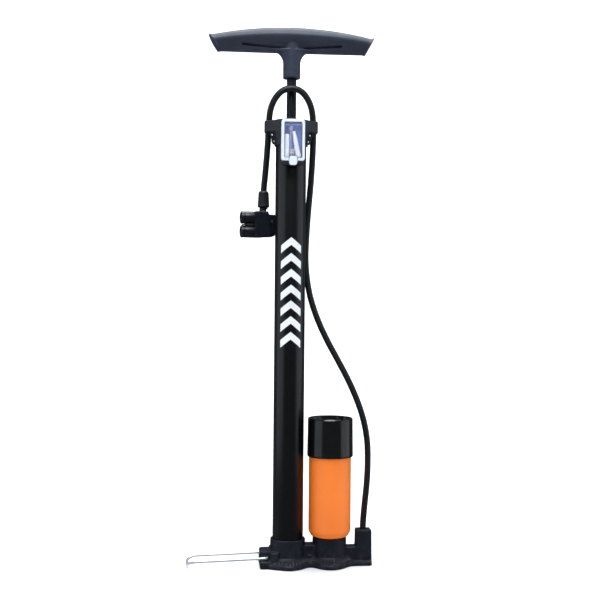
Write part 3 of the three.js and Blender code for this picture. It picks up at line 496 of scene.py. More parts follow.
footPlastic = surface("footPlastic", (22, 26, 38), (17, 20, 31), 0.46, grainDepth=3e-5,
                      wear=0.2, dust=0.08, shader={"Specular IOR Level": 0.3})
capPlastic = surface("capPlastic", (32, 36, 44), (25, 29, 36), 0.42, grainDepth=3e-5, wear=0.2)
handlePlastic = surface("handlePlastic", (43, 50, 68), (36, 42, 58), 0.44, grainDepth=2.5e-5,
                        wear=0.25, wearColour=(0.2, 0.21, 0.24, 1))
headPlastic = surface("headPlastic", (16, 20, 30), (11, 14, 22), 0.24, grainDepth=1.2e-5,
                      wear=0.25)
glossPlastic = surface("glossPlastic", (13, 14, 16), (9, 10, 12), 0.2, grainDepth=8e-6, wear=0.2,
                       shader={"Coat Weight": 0.3, "Coat Roughness": 0.1})
barrelPaint = surface("barrelPaint", (8, 9, 14), (5, 6, 10), 0.3, grainScale=900.0, grainDepth=3e-5,
                      cloudScale=12.0, wear=0.12, roughSpread=0.04,
                      shader={"Coat Weight": 0.4, "Coat Roughness": 0.22, "Specular IOR Level": 0.4})
rodPaint = surface("rodPaint", (26, 30, 36), (20, 24, 30), 0.26, grainDepth=1e-5, cloudScale=20.0,
                   marks=0.3, rings=0.0, wear=0.3, shader={"Metallic": 0.4})
orangePaint = surface("orangePaint", (244, 128, 46), (238, 120, 40), 0.34, grainScale=1500.0,
                      grainDepth=1.5e-5, cloudScale=18.0, wear=0.1, wearColour=(0.75, 0.45, 0.25, 1),
                      roughSpread=0.05,
                      shader={"Coat Weight": 0.15, "Coat Roughness": 0.2, "Specular IOR Level": 0.3})
hoseRubber = surface("hoseRubber", (16, 18, 23), (12, 14, 18), 0.45, grainScale=3000.0,
                     cloudScale=30.0, wear=0.2, wearColour=(0.08, 0.085, 0.09, 1))
sealRubber = surface("sealRubber", (22, 23, 26), (16, 17, 19), 0.6, grainDepth=3e-5)
# chrome that is only part metal: its light grey diffuse colour is partly the wire's own tone and partly a painted
# reflection of the pale studio, which its gloss does not see
chromeWire = surface("chromeWire", (214, 218, 223), (200, 205, 211), 0.24, grainDepth=4e-6,
                     wear=0.3, wearColour=(0.3, 0.3, 0.31, 1), roughSpread=0.06, shader={"Metallic": 0.55})
zincSteel = surface("zincSteel", (186, 188, 190), (168, 171, 174), 0.32, grainDepth=1e-5, marks=0.6,
                    shader={"Metallic": 1.0})
turnedBrass = surface("turnedBrass", (201, 170, 104), (184, 150, 84), 0.28, grainDepth=1e-5, marks=0.8,
                      shader={"Metallic": 1.0})
whiteNylon = surface("whiteNylon", (226, 226, 218), (214, 214, 204), 0.5, grainDepth=1e-5)
whitePlastic = surface("whitePlastic", (250, 251, 253), (244, 247, 250), 0.35, grainDepth=6e-6,
                       shader={"Subsurface Weight": 0.2, "Subsurface Radius": (0.002, 0.002, 0.002)})
frostedPlastic = surface("frostedPlastic", (232, 238, 246), (222, 230, 240), 0.3, grainDepth=6e-6,
                         shader={"Subsurface Weight": 0.3, "Subsurface Radius": (0.003, 0.003, 0.003)})
windowPlastic = surface("windowPlastic", (176, 192, 240), (168, 184, 236), 0.12, grainDepth=2e-6,
                        roughSpread=0.02, shader={"Alpha": 0.07})
backingCard = surface("backingCard", (128, 148, 214), (118, 138, 206), 0.5, grainDepth=8e-6)
tintedPlastic = surface("tintedPlastic", (96, 112, 176), (86, 102, 166), 0.2, grainDepth=2e-6)
platedBrass = surface("platedBrass", (232, 231, 226), (220, 219, 214), 0.25, grainDepth=6e-6, marks=0.5,
                      shader={"Metallic": 0.6})
printInk = surface("printInk", (238, 240, 243), (226, 229, 233), 0.35, grainDepth=1e-5,
                   wear=0.4, wearColour=(0.25, 0.25, 0.27, 1))
print("materials ready:", len(bpy.data.materials))


def settle(piece, body, finish, *replaced):
    # gives the piece its finish, its body and the CAD nodes that it stands for
    piece.data.materials.clear()
    piece.data.materials.append(finish)
    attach(piece, body)
    if replaced:
        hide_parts(*replaced)
    return piece


# hose

hoseRoute = np.array([
    (86.7, 0, 26.6), (86.7, 0, 42), (88, 0, 62), (91.1, 0.3, 95.6), (91.9, 0.8, 118.5), (91.1, 1.5, 141.5),
    (87, 2.5, 164.5), (79.5, 4, 187.5), (69.3, 5.5, 210.5), (57.1, 7.5, 233.6), (44.6, 9.5, 256.6),
    (33.9, 11.5, 279.8), (26, 13.5, 302.9), (21.3, 15, 326.1), (19.4, 15.6, 349.3), (19.8, 15.6, 372.5),
    (22.1, 14.2, 409.6), (24.1, 11.5, 437.1), (25.4, 8, 464.5), (25.7, 4, 484.6), (25.4, 0, 500.1),
    (23.4, -4.6, 517.7), (20.9, -6.6, 525.6), (17.2, -8.4, 532.4), (12.2, -9.6, 538.2), (6.4, -10.3, 541.6),
    (-0.6, -10.6, 542.9), (-7.6, -10.3, 541.6), (-13.4, -9.6, 538.2), (-18.4, -8.4, 532.4),
    (-22, -6.6, 525.6), (-24.4, -4.6, 517.7), (-25.8, 0, 500.1), (-26.3, 4.4, 484.1), (-27.4, 9.4, 464.1),
    (-28.8, 14.4, 444.2), (-29.8, 17.6, 431.5), (-30, 18, 423), (-30, 18, 409.7),
]) * mm
hoseValues = dict(diameter=7.2 * mm, rings=420, sides=24)


def makeHose(values):
    path = smoothCurve(hoseRoute, values["rings"])
    piece = tubeAlong("rubber_hose", path, values["diameter"] / 2, values["sides"])
    settle(piece, "pump", hoseRubber, "hose")
    print("hose", round(lengthOf(path), 4), "m long")


makeHose(hoseValues)

# the barrel, its printed stripes and the rod


def makeTube(name, outer, low, high, v, finish, body, node):
    # the wall of a tube as a loop of (r, z) with rounded edges, turned about the barrel's axis
    inner = outer - v["wall"]
    profile = roundedLoop([
        (inner, low, v["innerEdge"]), (outer, low, v["edge"]), (outer, high, v["edge"]),
        (inner, high, v["innerEdge"]),
    ], 3)
    settle(turned(name, profile, sides=v["sides"], closed=True), body, finish, node)


barrelValues = dict(wall=1.2 * mm, edge=0.35 * mm, innerEdge=0.35 * mm, sides=128)
stripeValues = dict(count=7, lowest=249 * mm, pitch=17.8 * mm, rise=9.5 * mm, stroke=8.6 * mm, halfWidth=12.2 * mm,
                    proud=0.12 * mm, sunk=0.3 * mm)


def makeStripes(v):
    # upward chevrons wrapped on the barrel: height = start + rise * (1 - |s|) for s across the width,
    # with each chevron a closed sheet from just inside the paint to a hair outside it
    s, t = np.linspace(-1, 1, 41), np.linspace(0, 1, 7)
    angle = s * v["halfWidth"] / barrelRadius - np.pi / 2
    r = np.repeat([barrelRadius + v["proud"], barrelRadius - v["sunk"]], len(t))[:, None]
    sheets = []
    for k in range(v["count"]):
        z = v["lowest"] + k * v["pitch"] + v["rise"] * (1 - np.abs(s))[None] + v["stroke"] * t[:, None]
        points = np.stack([r * np.cos(angle), r * np.sin(angle), np.concatenate([z, z[::-1]])], -1)
        rows, columns = points.shape[:2]
        faces = gridFaces(rows, columns, rowsClose=True, columnsClose=False)
        for column in (0, columns - 1):
            for a in range(len(t) - 1):
                faces.append([i * columns + column for i in (a, a + 1, rows - 2 - a, rows - 1 - a)])
        sheets.append(pieceFrom("stripe", points, faces))
    settle(joined("barrel_stripes", sheets), "pump", printInk)


rodValues = dict(wall=1.2 * mm, edge=0.3 * mm, innerEdge=0.1 * mm, sides=72)
rodLow, rodHigh = boxOf("rod")
rodRadius = (rodHigh[0] - rodLow[0]) / 2


makeTube("barrel_tube", barrelRadius, barrelLow[2], barrelHigh[2], barrelValues, barrelPaint, "pump", "barrel")
makeStripes(stripeValues)
makeTube("rod_tube", rodRadius, rodLow[2], rodHigh[2], rodValues, rodPaint, "rod_handle", "rod")
print("barrel and rod made")

# handle

handleLow = boxOf("handle")[0]
handleValues = dict(
    top=613.6 * mm, bottom=584.5 * mm, droop=10.8 * mm, sag=0.4 * mm, upperHalf=95 * mm, lowerHalf=84.5 * mm,
    lip=1.2 * mm, lipFrom=0.972, lipSteepness=320, wide=13.2 * mm, taper=2.6 * mm, narrow=7.6 * mm,
    stemRadius=9.9 * mm, stemRise=12.5 * mm, flareReach=13 * mm, flareRise=14.5 * mm, rodRadius=5.8 * mm,
    boreTop=582.5 * mm, grooveFrom=13 * mm, grooveTo=57 * mm, grooveDepth=4 * mm, grain=0.55 * mm,
)


def handleSurface(v, t, angle):
    # t runs from -1 to 1 along the bar and angle round its section. The upper edge droops with t squared;
    # the section is wide above and narrow below; the ends lean in towards the lower edge and flare in a lip
    t, angle = np.meshgrid(t, angle, indexing="ij")
    lip = v["lip"] / (1 + np.exp(-(np.abs(t) - v["lipFrom"]) * v["lipSteepness"]))
    top = v["top"] - v["droop"] * t**2 + lip
    bottom = v["bottom"] + v["sag"] * t**2 - lip / 2
    rise = np.sin(angle)
    share = np.clip((rise + 0.75) / 1.2, 0, 1)
    share = share * share * (3 - 2 * share)
    wide = v["wide"] - v["taper"] * t**2
    depth = v["narrow"] + (wide - v["narrow"]) * share + lip
    across = np.sign(np.cos(angle)) * np.abs(np.cos(angle)) ** 0.82
    z = (top + bottom) / 2 + (top - bottom) / 2 * np.sign(rise) * np.abs(rise) ** 0.95
    up = np.clip((z - v["bottom"]) / (v["top"] - v["bottom"]) * 1.5, 0, 1)
    half = v["lowerHalf"] + (v["upperHalf"] - v["lowerHalf"]) * up
    return np.stack([t * half, depth * across, z], -1)


def capped(name, points):
    # a stack of rings, closed with a flat face at both ends
    rows, columns = points.shape[:2]
    ends = [list(range(columns))[::-1], list(range((rows - 1) * columns, rows * columns))]
    return pieceFrom(name, points, gridFaces(rows, columns) + ends)


def makeHandle(v):
    t = np.concatenate([np.linspace(-1, -0.94, 16), np.linspace(-0.93, 0.93, 110), np.linspace(0.94, 1, 16)])
    bar = capped("bar", handleSurface(v, t, np.linspace(0, 2 * np.pi, 88, endpoint=False)))
    r, low, bottom = v["stemRadius"], handleLow[2], v["bottom"]
    stemTop = bottom + v["stemRise"]
    stem = turned("stem", rounded([(0, low), (r, low, 0.8 * mm), (r, stemTop, 1 * mm), (0, stemTop)]))
    # the flare: an ellipse whose half width grows as reach * (1 - cos a) while its height grows as rise * sin a
    a = np.linspace(0, np.pi / 2, 20)
    deep, top, foot = r - 0.1 * mm, bottom + 2 * mm, bottom + 2 * mm - v["flareRise"]
    wide = np.concatenate([[deep], deep + v["flareReach"] * (1 - np.cos(a)), [r + v["flareReach"]]])[:, None]
    z = np.concatenate([[foot - 2 * mm], foot + v["flareRise"] * np.sin(a), [top + 2 * mm]])[:, None]
    angle = np.linspace(0, 2 * np.pi, 96, endpoint=False)
    flare = capped("flare", np.stack([wide * np.cos(angle), 0 * z + deep * np.sin(angle), z + 0 * angle], -1))
    cutters = []
    for side in (-1, 1):
        near, far = side * v["grooveFrom"], side * v["grooveTo"]
        outline = roundedLoop([
            (near, bottom + 4 * mm, 0.7 * mm), (far, bottom + 6.5 * mm, 0.6 * mm),
            (far, bottom + 9.4 * mm, 0.6 * mm), (near, bottom + 6.3 * mm, 0.7 * mm)], 4)
        for front in (-1, 1):
            reach = sorted((front * v["grooveDepth"], front * 17 * mm))
            cutters.append(upright("groove", outline, [(0, end) for end in reach]))
    cutters.append(plainRod("bore", v["rodRadius"], low - 2 * mm, v["boreTop"]))
    piece = moulded("t_handle", [bar, stem, flare], cutters, v["grain"], 3)
    settle(piece, "rod_handle", handlePlastic, "handle")


makeHandle(handleValues)
print("handle made")

# tank and its cap

tankValues = dict(height=125 * mm, wall=1.6 * mm, floor=4 * mm, spigot=12 * mm, port=2.2 * mm, sides=128)


def makeTank(v):
    low, high, r, port, inner = tankLow[2], tankHigh[2], tankRadius, v["port"], tankRadius - v["wall"]
    shelf = high - v["height"]
    floor = shelf + v["floor"]
    outline = rounded([
        (port, low), (v["spigot"], low, 0.4 * mm), (v["spigot"], shelf, 0.3 * mm), (r - 6.7 * mm, shelf, 1 * mm),
        (r - 2.7 * mm, shelf + 1.8 * mm, 3 * mm), (r, shelf + 7.2 * mm, 2.5 * mm), (r, high, 0.4 * mm),
        (inner, high, 0.3 * mm), (inner, shelf + 9 * mm, 6 * mm), (r - 7 * mm, floor, 3 * mm),
        (port, floor), (port, low),
    ], 8)
    settle(turned("air_tank", outline[:-1], tankAxis, v["sides"], closed=True), "pump", orangePaint, "tank")


tankCapValues = dict(gap=0.3 * mm, rise=1.8 * mm, roof=3 * mm, sides=128)


def makeTankCap(v):
    low, high = boxOf("tank_cap")
    outer, bottom, top = (high[0] - low[0]) / 2, low[2], high[2]
    inner, under = tankRadius + v["gap"], tankHigh[2] + v["rise"]
    over = under + v["roof"]
    profile = rounded([
        (0, under), (inner, under), (inner, bottom, 0.2 * mm), (outer - 0.3 * mm, bottom, 0.5 * mm),
        (outer, bottom + 1.6 * mm, 1.2 * mm), (outer - 0.6 * mm, top - 1.2 * mm, 0.8 * mm),
        (outer - 1.4 * mm, top, 0.5 * mm), (outer - 3 * mm, top, 0.6 * mm), (outer - 3.8 * mm, over, 1.6 * mm),
        (0, over),
    ], 5)
    settle(turned("tank_lid", profile, tankAxis, v["sides"]), "pump", glossPlastic, "tank_cap")


makeTank(tankValues)
makeTankCap(tankCapValues)
print("tank made")

# base

baseLow, baseHigh = boxOf("base")
pivotX, pivotZ = -24 * mm, 11 * mm  # of the foot pedal
baseValues = dict(
    rim=5 * mm, skirt=5.6 * mm, socketWall=2.2 * mm, socketTop=31 * mm, tankSocket=19.35 * mm,
    tankSocketTop=32 * mm, barrelSkirt=11 * mm, tankSkirt=10.6 * mm, towerTop=40.4 * mm,
    towerWidth=17 * mm, lugTop=18 * mm, lugHalf=21.5 * mm, seat=16 * mm, gap=0.3 * mm, ribs=44,
    ribDepth=1.1 * mm, grain=0.7 * mm, pedalWire=3 * mm, pedalHalf=15 * mm,
)
towerAt = middleOf("hose_fitting")[0]
socketRadius = barrelRadius + baseValues["gap"] + baseValues["socketWall"]


def footOutline(v, barrelBulge, tankBulge):
    # the front edge as a smooth line through its bulges; the back edge is its mirror image
    offset, foot, lug = tankAxis[0], v["towerWidth"] / 2 + 3.5 * mm, v["lugHalf"]
    left, right = baseLow[0], baseHigh[0]
    edge = np.array([
        (pivotX, lug), (-12 * mm, barrelBulge - 4 * mm), (0, barrelBulge), (11 * mm, barrelBulge - 3.5 * mm),
        (offset * 0.53, barrelBulge / 2 + 1 * mm), (offset - 10.5 * mm, tankBulge - 3.5 * mm),
        (offset + 1 * mm, tankBulge), (offset + 12 * mm, tankBulge - 5 * mm), (offset + 24 * mm, foot + 1.5 * mm),
        (towerAt - 4 * mm, foot),
    ])
    wave = smoothCurve(np.column_stack([edge, np.zeros(len(edge))]), 110)[:, :2]
    end = rounded([(towerAt, -foot), (right, -foot, 4 * mm), (right, foot, 4 * mm), (towerAt, foot)], 8)
    start = rounded([(pivotX, lug), (left, lug, 1.2 * mm), (left, -lug, 1.2 * mm), (pivotX, -lug)], 4)
    return np.concatenate([wave * [1, -1], end[1:-1], wave[::-1], start[1:-1]])


def ribbedBand(at, bulge, socket, v):
    # sharp V ridges on the cone between foot plate and socket: each point stands depth * triangle wave * arch
    # above the cone, square to it, where the wave runs round the axis and the arch fades it at both rims
    count, depth, run = v["ribs"], v["ribDepth"], bulge - socket - 1 * mm
    angle = np.linspace(0, 2 * np.pi, count * 8, endpoint=False)
    s = np.linspace(0, 1, 21)[:, None]
    wave = 1 - np.abs(((angle * count / (2 * np.pi)) % 1) * 2 - 1)
    lift = depth * (wave - 0.3) * np.sin(np.pi * s) ** 0.5 - 0.15 * mm
    slope = math.atan2(v["skirt"], run)
    r = bulge - 1 * mm - (run - 2.2 * mm) * s
    z = v["rim"] + v["skirt"] * (bulge - r) / run
    r, z = r + lift * math.sin(slope), z + lift * math.cos(slope)
    top = np.stack([at[0] + r * np.cos(angle), at[1] + r * np.sin(angle), z], -1)
    under = top.copy()
    under[..., 2] = v["rim"] - 1.5 * mm
    points = np.concatenate([top, under[::-1]])
    return pieceFrom("ribs", points, gridFaces(len(points), len(angle), rowsClose=True), smoothAngle=20)


def makeBase(v):
    barrelBulge, tankBulge = socketRadius + v["barrelSkirt"], v["tankSocket"] + v["tankSkirt"]
    outline = footOutline(v, barrelBulge, tankBulge)
    rim, skirtTop, half = v["rim"], v["rim"] + v["skirt"], v["towerWidth"] / 2
    sockets = (((0, 0), barrelBulge, socketRadius, v["socketTop"]),
               (tankAxis, tankBulge, v["tankSocket"], v["tankSocketTop"]))
    shells = [raised("plate", outline, [
        (0.4 * mm, 0), (0, 0.4 * mm), (0, rim - 1.2 * mm), (0.35 * mm, rim - 0.35 * mm), (1.2 * mm, rim)])]
    for at, bulge, socket, _ in sockets:
        cone = turned("cone", [
            (0, 1 * mm), (bulge - 1 * mm, 1 * mm), (bulge - 1 * mm, rim), (socket + 1 * mm, skirtTop),
            (0, skirtTop)], at)
        keep = raised("keep", outline, [(0.6 * mm, 0.5 * mm), (0.6 * mm, skirtTop + 2 * mm)])
        shells.append(carved(cone, [keep], "INTERSECT"))
    for at, _, socket, top in sockets:
        shells.append(turned("socket", rounded([
            (0, 1 * mm), (socket + 0.5 * mm, 1 * mm), (socket, top, 0.8 * mm), (0, top)]), at, 120))
    # the webs from the barrel's socket to the tank's, and from there to the tower
    webLeft, webRight = socketRadius - 5 * mm, tankAxis[0] - v["tankSocket"] + 5 * mm
    tankRight = tankAxis[0] + v["tankSocket"] - 5 * mm
    shells.append(blockPiece("web", (webLeft, -9 * mm, 1 * mm), (webRight, 9 * mm, 24 * mm), 0.8 * mm))
    shells.append(blockPiece("web", (tankRight, -8 * mm, 1 * mm), (towerAt, 8 * mm, 21 * mm), 0.8 * mm))
    towerTop = v["towerTop"]
    shells.append(raised("tower", rectangle(towerAt - half - 0.6 * mm, -half, baseHigh[0], half, 1.6 * mm, 6), [
        (0, 1 * mm), (0.6 * mm, towerTop - 1 * mm), (0.9 * mm, towerTop - 0.3 * mm), (1.5 * mm, towerTop)]))
    shells.append(upright("lug", roundedLoop([
        (baseLow[0], 1 * mm, 0.6 * mm), (-12 * mm, 1 * mm), (-12 * mm, v["lugTop"], 1 * mm),
        (baseLow[0], v["lugTop"], 3 * mm)]), softEdges(-v["lugHalf"], v["lugHalf"], 1.2 * mm)))
    cutters = [
        plainRod("barrelRoom", barrelRadius + v["gap"], v["seat"], 40 * mm),
        turned("valveRoom", [
            (0, 5 * mm), (5.5 * mm, 5 * mm), (5.5 * mm, 12.7 * mm), (7.3 * mm, 12.7 * mm), (7.3 * mm, 17 * mm),
            (0, 17 * mm)]),
        plainRod("tankRoom", 12.3 * mm, 20 * mm, 40 * mm, tankAxis),
        plainRod("outlet", 3.9 * mm, 11.7 * mm, 50 * mm, (towerAt, 0)),
    ]
    # a shallow panel in the front and the back of the web between the sockets
    for y in (-12 * mm, 8.2 * mm):
        cutters.append(blockPiece("panel", (webLeft + 6.4 * mm, y, 12.6 * mm),
                                  (webRight - 6.4 * mm, y + 3.8 * mm, 21 * mm), 0.4 * mm))
    # the corners of the lug, cut back round the pedal's wire
    wire = v["pedalWire"] / 2
    inside, outside = v["pedalHalf"] - wire - 0.8 * mm, v["lugHalf"] + 2 * mm
    for y0, y1 in ((-outside, -inside), (inside, outside)):
        cutters.append(blockPiece("corner", (baseLow[0] - 2 * mm, y0, pivotZ - wire - 1.2 * mm),
                                  (pivotX + wire + 2 * mm, y1, v["lugTop"] + 3 * mm), 0.3 * mm))
    cutters.append(crossRod("pivotHole", 1.9 * mm, 15 * mm, (pivotX, 0, pivotZ)))
    body = moulded("foot_moulding", shells, cutters, v["grain"], 3)
    ribs = []
    for at, bulge, socket, _ in sockets:
        band = ribbedBand(at, bulge, socket, v)
        keep = raised("keep", outline, [(1 * mm, 3.2 * mm), (1 * mm, skirtTop + 3 * mm)])
        ribs.append(carved(band, [keep], "INTERSECT"))
    settle(body, "pump", footPlastic, "base")
    ribPiece = settle(joined("foot_ribs", ribs), "pump", footPlastic)
    ribPiece.data.shade_smooth()
    ribPiece.data.set_sharp_from_angle(angle=math.radians(20))



makeBase(baseValues)
print("base made")

# cap on the barrel, with the arms that clip the hose

capLow, capHigh = boxOf("barrel_cap")
capValues = dict(roof=4 * mm, wall=1.4 * mm, shoulder=3.8 * mm, gap=0.3 * mm, arm=13.6 * mm, hoseRoom=4.05 * mm,
                 bossRadius=12 * mm, grain=0.5 * mm)


def makeCap(v):
    low, high, reach, inner = capLow[2], capHigh[2], capHigh[0], barrelRadius + v["gap"]
    neck, shoulder = inner + v["wall"], inner + v["shoulder"]
    armTop = high - 0.3 * mm
    armBottom = armTop - v["arm"]
    shell = turned("shell", rounded([
        (0, low), (neck, low, 0.5 * mm), (neck, low + 6 * mm, 2 * mm), (shoulder, low + 14 * mm, 2 * mm),
        (shoulder, high, 1.2 * mm), (0, high)]), sides=120)
    edge = np.array([(-22, -9.5, 0), (-12, -17.5, 0), (0, -20, 0), (12, -17.5, 0), (22, -9.5, 0)]) * mm
    front = smoothCurve([(-reach, -4.8 * mm, 0), *edge, (reach, -4.8 * mm, 0)], 80)[:, :2]
    front = front[(front[:, 0] > 3.4 * mm - reach) & (front[:, 0] < reach - 3.4 * mm)]
    back = rounded([
        tuple(front[-1]), (reach, -5 * mm, 3.2 * mm), (reach, 6.2 * mm, 3 * mm), (17 * mm, 11 * mm, 6 * mm),
        (-17 * mm, 11 * mm, 6 * mm), (-reach, 6.2 * mm, 3 * mm), (-reach, -5 * mm, 3.2 * mm), tuple(front[0])], 6)
    arms = raised("arms", np.concatenate([front, back[1:-1]]), softEdges(armBottom, armTop, 1.2 * mm))
    ears = []
    for side in (-1, 1):
        bends = ((24.3, 2), (23.6, -2.5), (21.6, -6.5), (21.4, -10), (19.6, -13))
        ear = smoothCurve(np.array([(side * x, -2, z) for x, z in bends]) * mm, 30)
        ears.append(tubeAlong("ear", ear + [0, 0, armBottom], 1.3 * mm, 16))
    caseBack = boxOf("accessory_case")[1][1]
    pad = blockPiece("pad", (-9 * mm, caseBack + v["gap"], high - 24.7 * mm),
                     (9 * mm, -inner - 1 * mm, high - 1.4 * mm), 0.6 * mm)
    cutters = [plainRod("barrelRoom", inner, low - 2 * mm, high - v["roof"])]
    hosePath = smoothCurve(hoseRoute, hoseValues["rings"])
    near = hosePath[(hosePath[:, 2] > armBottom - 8 * mm) & (hosePath[:, 2] < high + 6 * mm)]
    for side, x in ((1, 25.4 * mm), (-1, -25.9 * mm)):
        cutters.append(tubeAlong("hoseRoom", near[near[:, 0] * side > 0], v["hoseRoom"], 32))
        cutters.append(blockPiece("clipSlot", (x - 2.7 * mm, 1 * mm, armBottom - 2 * mm),
                                  (x + 2.7 * mm, 13 * mm, high + 2 * mm), 0.3 * mm))
    bushLow, bushHigh = boxOf("rod_bush")
    room = (bushHigh[0] - bushLow[0]) / 2 - 1.8 * mm + v["gap"]
    cutters.append(plainRod("bushRoom", room, bushLow[2] - 2 * mm, high + 2 * mm))
    piece = moulded("cap_moulding", [shell, arms, pad, *ears], cutters, v["grain"], 3)
    boss = turned("boss", rounded([
        (room, bushLow[2]), (v["bossRadius"], bushLow[2], 0.4 * mm), (v["bossRadius"], high - 1 * mm),
        (room, high - 1 * mm)]), closed=True)
    settle(joined("barrel_head", [piece, boss]), "pump", capPlastic, "barrel_cap").data.shade_smooth()
    bpy.data.objects["barrel_head"].data.shade_smooth()


makeCap(capValues)
print("cap made")

# foot pedal

pedalValues = dict(wire=baseValues["pedalWire"], half=baseValues["pedalHalf"], reach=91.9 * mm, droop=0.038,
                   dip=0.4, toe=8 * mm, corner=9 * mm)


def makePedal(v):
    # a flat U, from pin end to pin end, whose height then falls by droop times the distance out
    # and by dip times the distance past the start of the toe
    half, corner, pin = v["half"], v["corner"], 4 * mm
    tip = pivotX - v["reach"] + v["wire"] / 2
    outline = rounded([
        (pivotX, pin), (pivotX, half, 3 * mm), (tip, half, corner), (tip, -half, corner), (pivotX, -half, 3 * mm),
        (pivotX, -pin)], 16)
    flat = evenly(np.column_stack([outline, np.zeros(len(outline))]), 360)
    out, soft = pivotX - flat[:, 0], 1.2 * mm
    dip = v["dip"] * soft * np.logaddexp(0, (out - (v["reach"] - v["toe"])) / soft)
    flat[:, 2] = pivotZ - v["droop"] * out - dip
    radius = np.full(len(flat), v["wire"] / 2)
    radius[[0, -1]] *= 0.75
    settle(tubeAlong("wire_pedal", flat, radius, 20, (0, 0, 1)), "pedal", chromeWire, "foot_pedal")


makePedal(pedalValues)
print("pedal made")

# accessory case and its contents

lidLow, lidHigh = boxOf("case_lid")
lidValues = dict(height=46.3 * mm, wall=1.2 * mm, corner=3.2 * mm, frame=3 * mm, depth=8 * mm, tab=4.6 * mm,
                 tabProud=1.2 * mm, stub=1.1 * mm)


def makeLid(v):
    half, high, wall = lidHigh[0], lidHigh[2], v["wall"]
    front = lidLow[1] + v["tabProud"]
    low, back, face = high - v["height"], -(front + v["depth"]), -front

    def inset(by, radius, steps):
        return rectangle(by - half, low + by, half - by, high - by, radius, steps)

    shell = upright("lidShell", inset(0, v["corner"], 8), [
        (0, back), (0, face - 1.2 * mm), (0.35 * mm, face - 0.35 * mm), (1.2 * mm, face)])
    hollow = upright("hollow", inset(wall, v["corner"] - wall, 6), [(0, back - 1 * mm), (0, face - wall)])
    pane = inset(v["frame"], 1.6 * mm, 5)
    window = upright("paneRoom", pane, [(0, face - 3 * mm), (0, face + 2 * mm)])
    pivotY, pivotTop = front + 5 * mm, high - 3.7 * mm
    behind = blockPiece("behind", (-half - 2 * mm, pivotY + 0.5 * mm, pivotTop - 3 * mm),
                        (half + 2 * mm, front + v["depth"] + 2 * mm, high + 2 * mm), 0.2 * mm)
    frameShell = carved(shell, [hollow, window, behind])
    frameShell.data.set_sharp_from_angle(angle=math.radians(30))
    tab = upright("tab", rectangle(-v["tab"], low - 5 * mm, v["tab"], low + 5 * mm, 3 * mm, 8),
                  softEdges(face - wall, face + v["tabProud"], 0.6 * mm))
    stubs = []
    for side in (-1, 1):
        stub = plainRod("stub", v["stub"], -1.45 * mm, 1.45 * mm, sides=24)
        place = Matrix.Translation((side * (half - 2.05 * mm), pivotY, pivotTop))
        stub.data.transform(place @ Matrix.Rotation(math.pi / 2, 4, "Y"))
        stubs.append(stub)
    settle(joined("lid_frame", [frameShell, tab, *stubs]), "lid", frostedPlastic, "case_lid")
    # a tinted band arched over the tab
    a = np.linspace(0, np.pi, 40)
    arch = np.stack([4.4 * mm * np.cos(a), front - 0.4 * mm + 0 * a, low + 0.8 * mm + 4.2 * mm * np.sin(a)], 1)
    settle(tubeAlong("tab_arch", arch, 0.75 * mm, 16), "lid", tintedPlastic)
    sheet = upright("lid_window", pane, softEdges(face - 1 * mm, face - 0.3 * mm, 0.15 * mm, 2))
    settle(sheet, "lid", windowPlastic)


# the backing is given by its half width, y, bottom and top
caseValues = dict(edge=0.25 * mm, backing=(10.1 * mm, -23.9 * mm, 457 * mm, 500.5 * mm))


def makeCase(v):
    # the CAD tub has the right walls, so a copy of it is merged and its edges are rounded
    mesh = nodes["accessory_case"].data.copy()
    mesh.materials.clear()
    piece = bpy.data.objects.new("case_tub", mesh)
    bpy.context.scene.collection.objects.link(piece)
    work = bmesh.new()
    work.from_mesh(mesh)
    bmesh.ops.remove_doubles(work, verts=work.verts, dist=2e-7)
    bmesh.ops.dissolve_limit(work, angle_limit=math.radians(1), verts=work.verts, edges=work.edges)
    work.to_mesh(mesh)
    work.free()
    edge = piece.modifiers.new("edge", "BEVEL")
    edge.width, edge.segments, edge.limit_method, edge.angle_limit = v["edge"], 2, "ANGLE", math.radians(35)
    edge.use_clamp_overlap = True
    applied(piece, 30)
    settle(piece, "pump", capPlastic, "accessory_case")
    wide, y, low, high = v["backing"]
    backing = blockPiece("case_backing", (-wide, y, low), (wide, y + 0.25 * mm, high), 0.08 * mm)
    settle(backing, "pump", backingCard)


def makeNozzle(name, profile, foot, finish, node, lean=0):
    piece = turned(name, rounded(profile) * mm, sides=56)
    piece.data.transform(Matrix.Translation(foot) @ Matrix.Rotation(lean, 4, "Y"))
    settle(piece, "pump", finish, node)


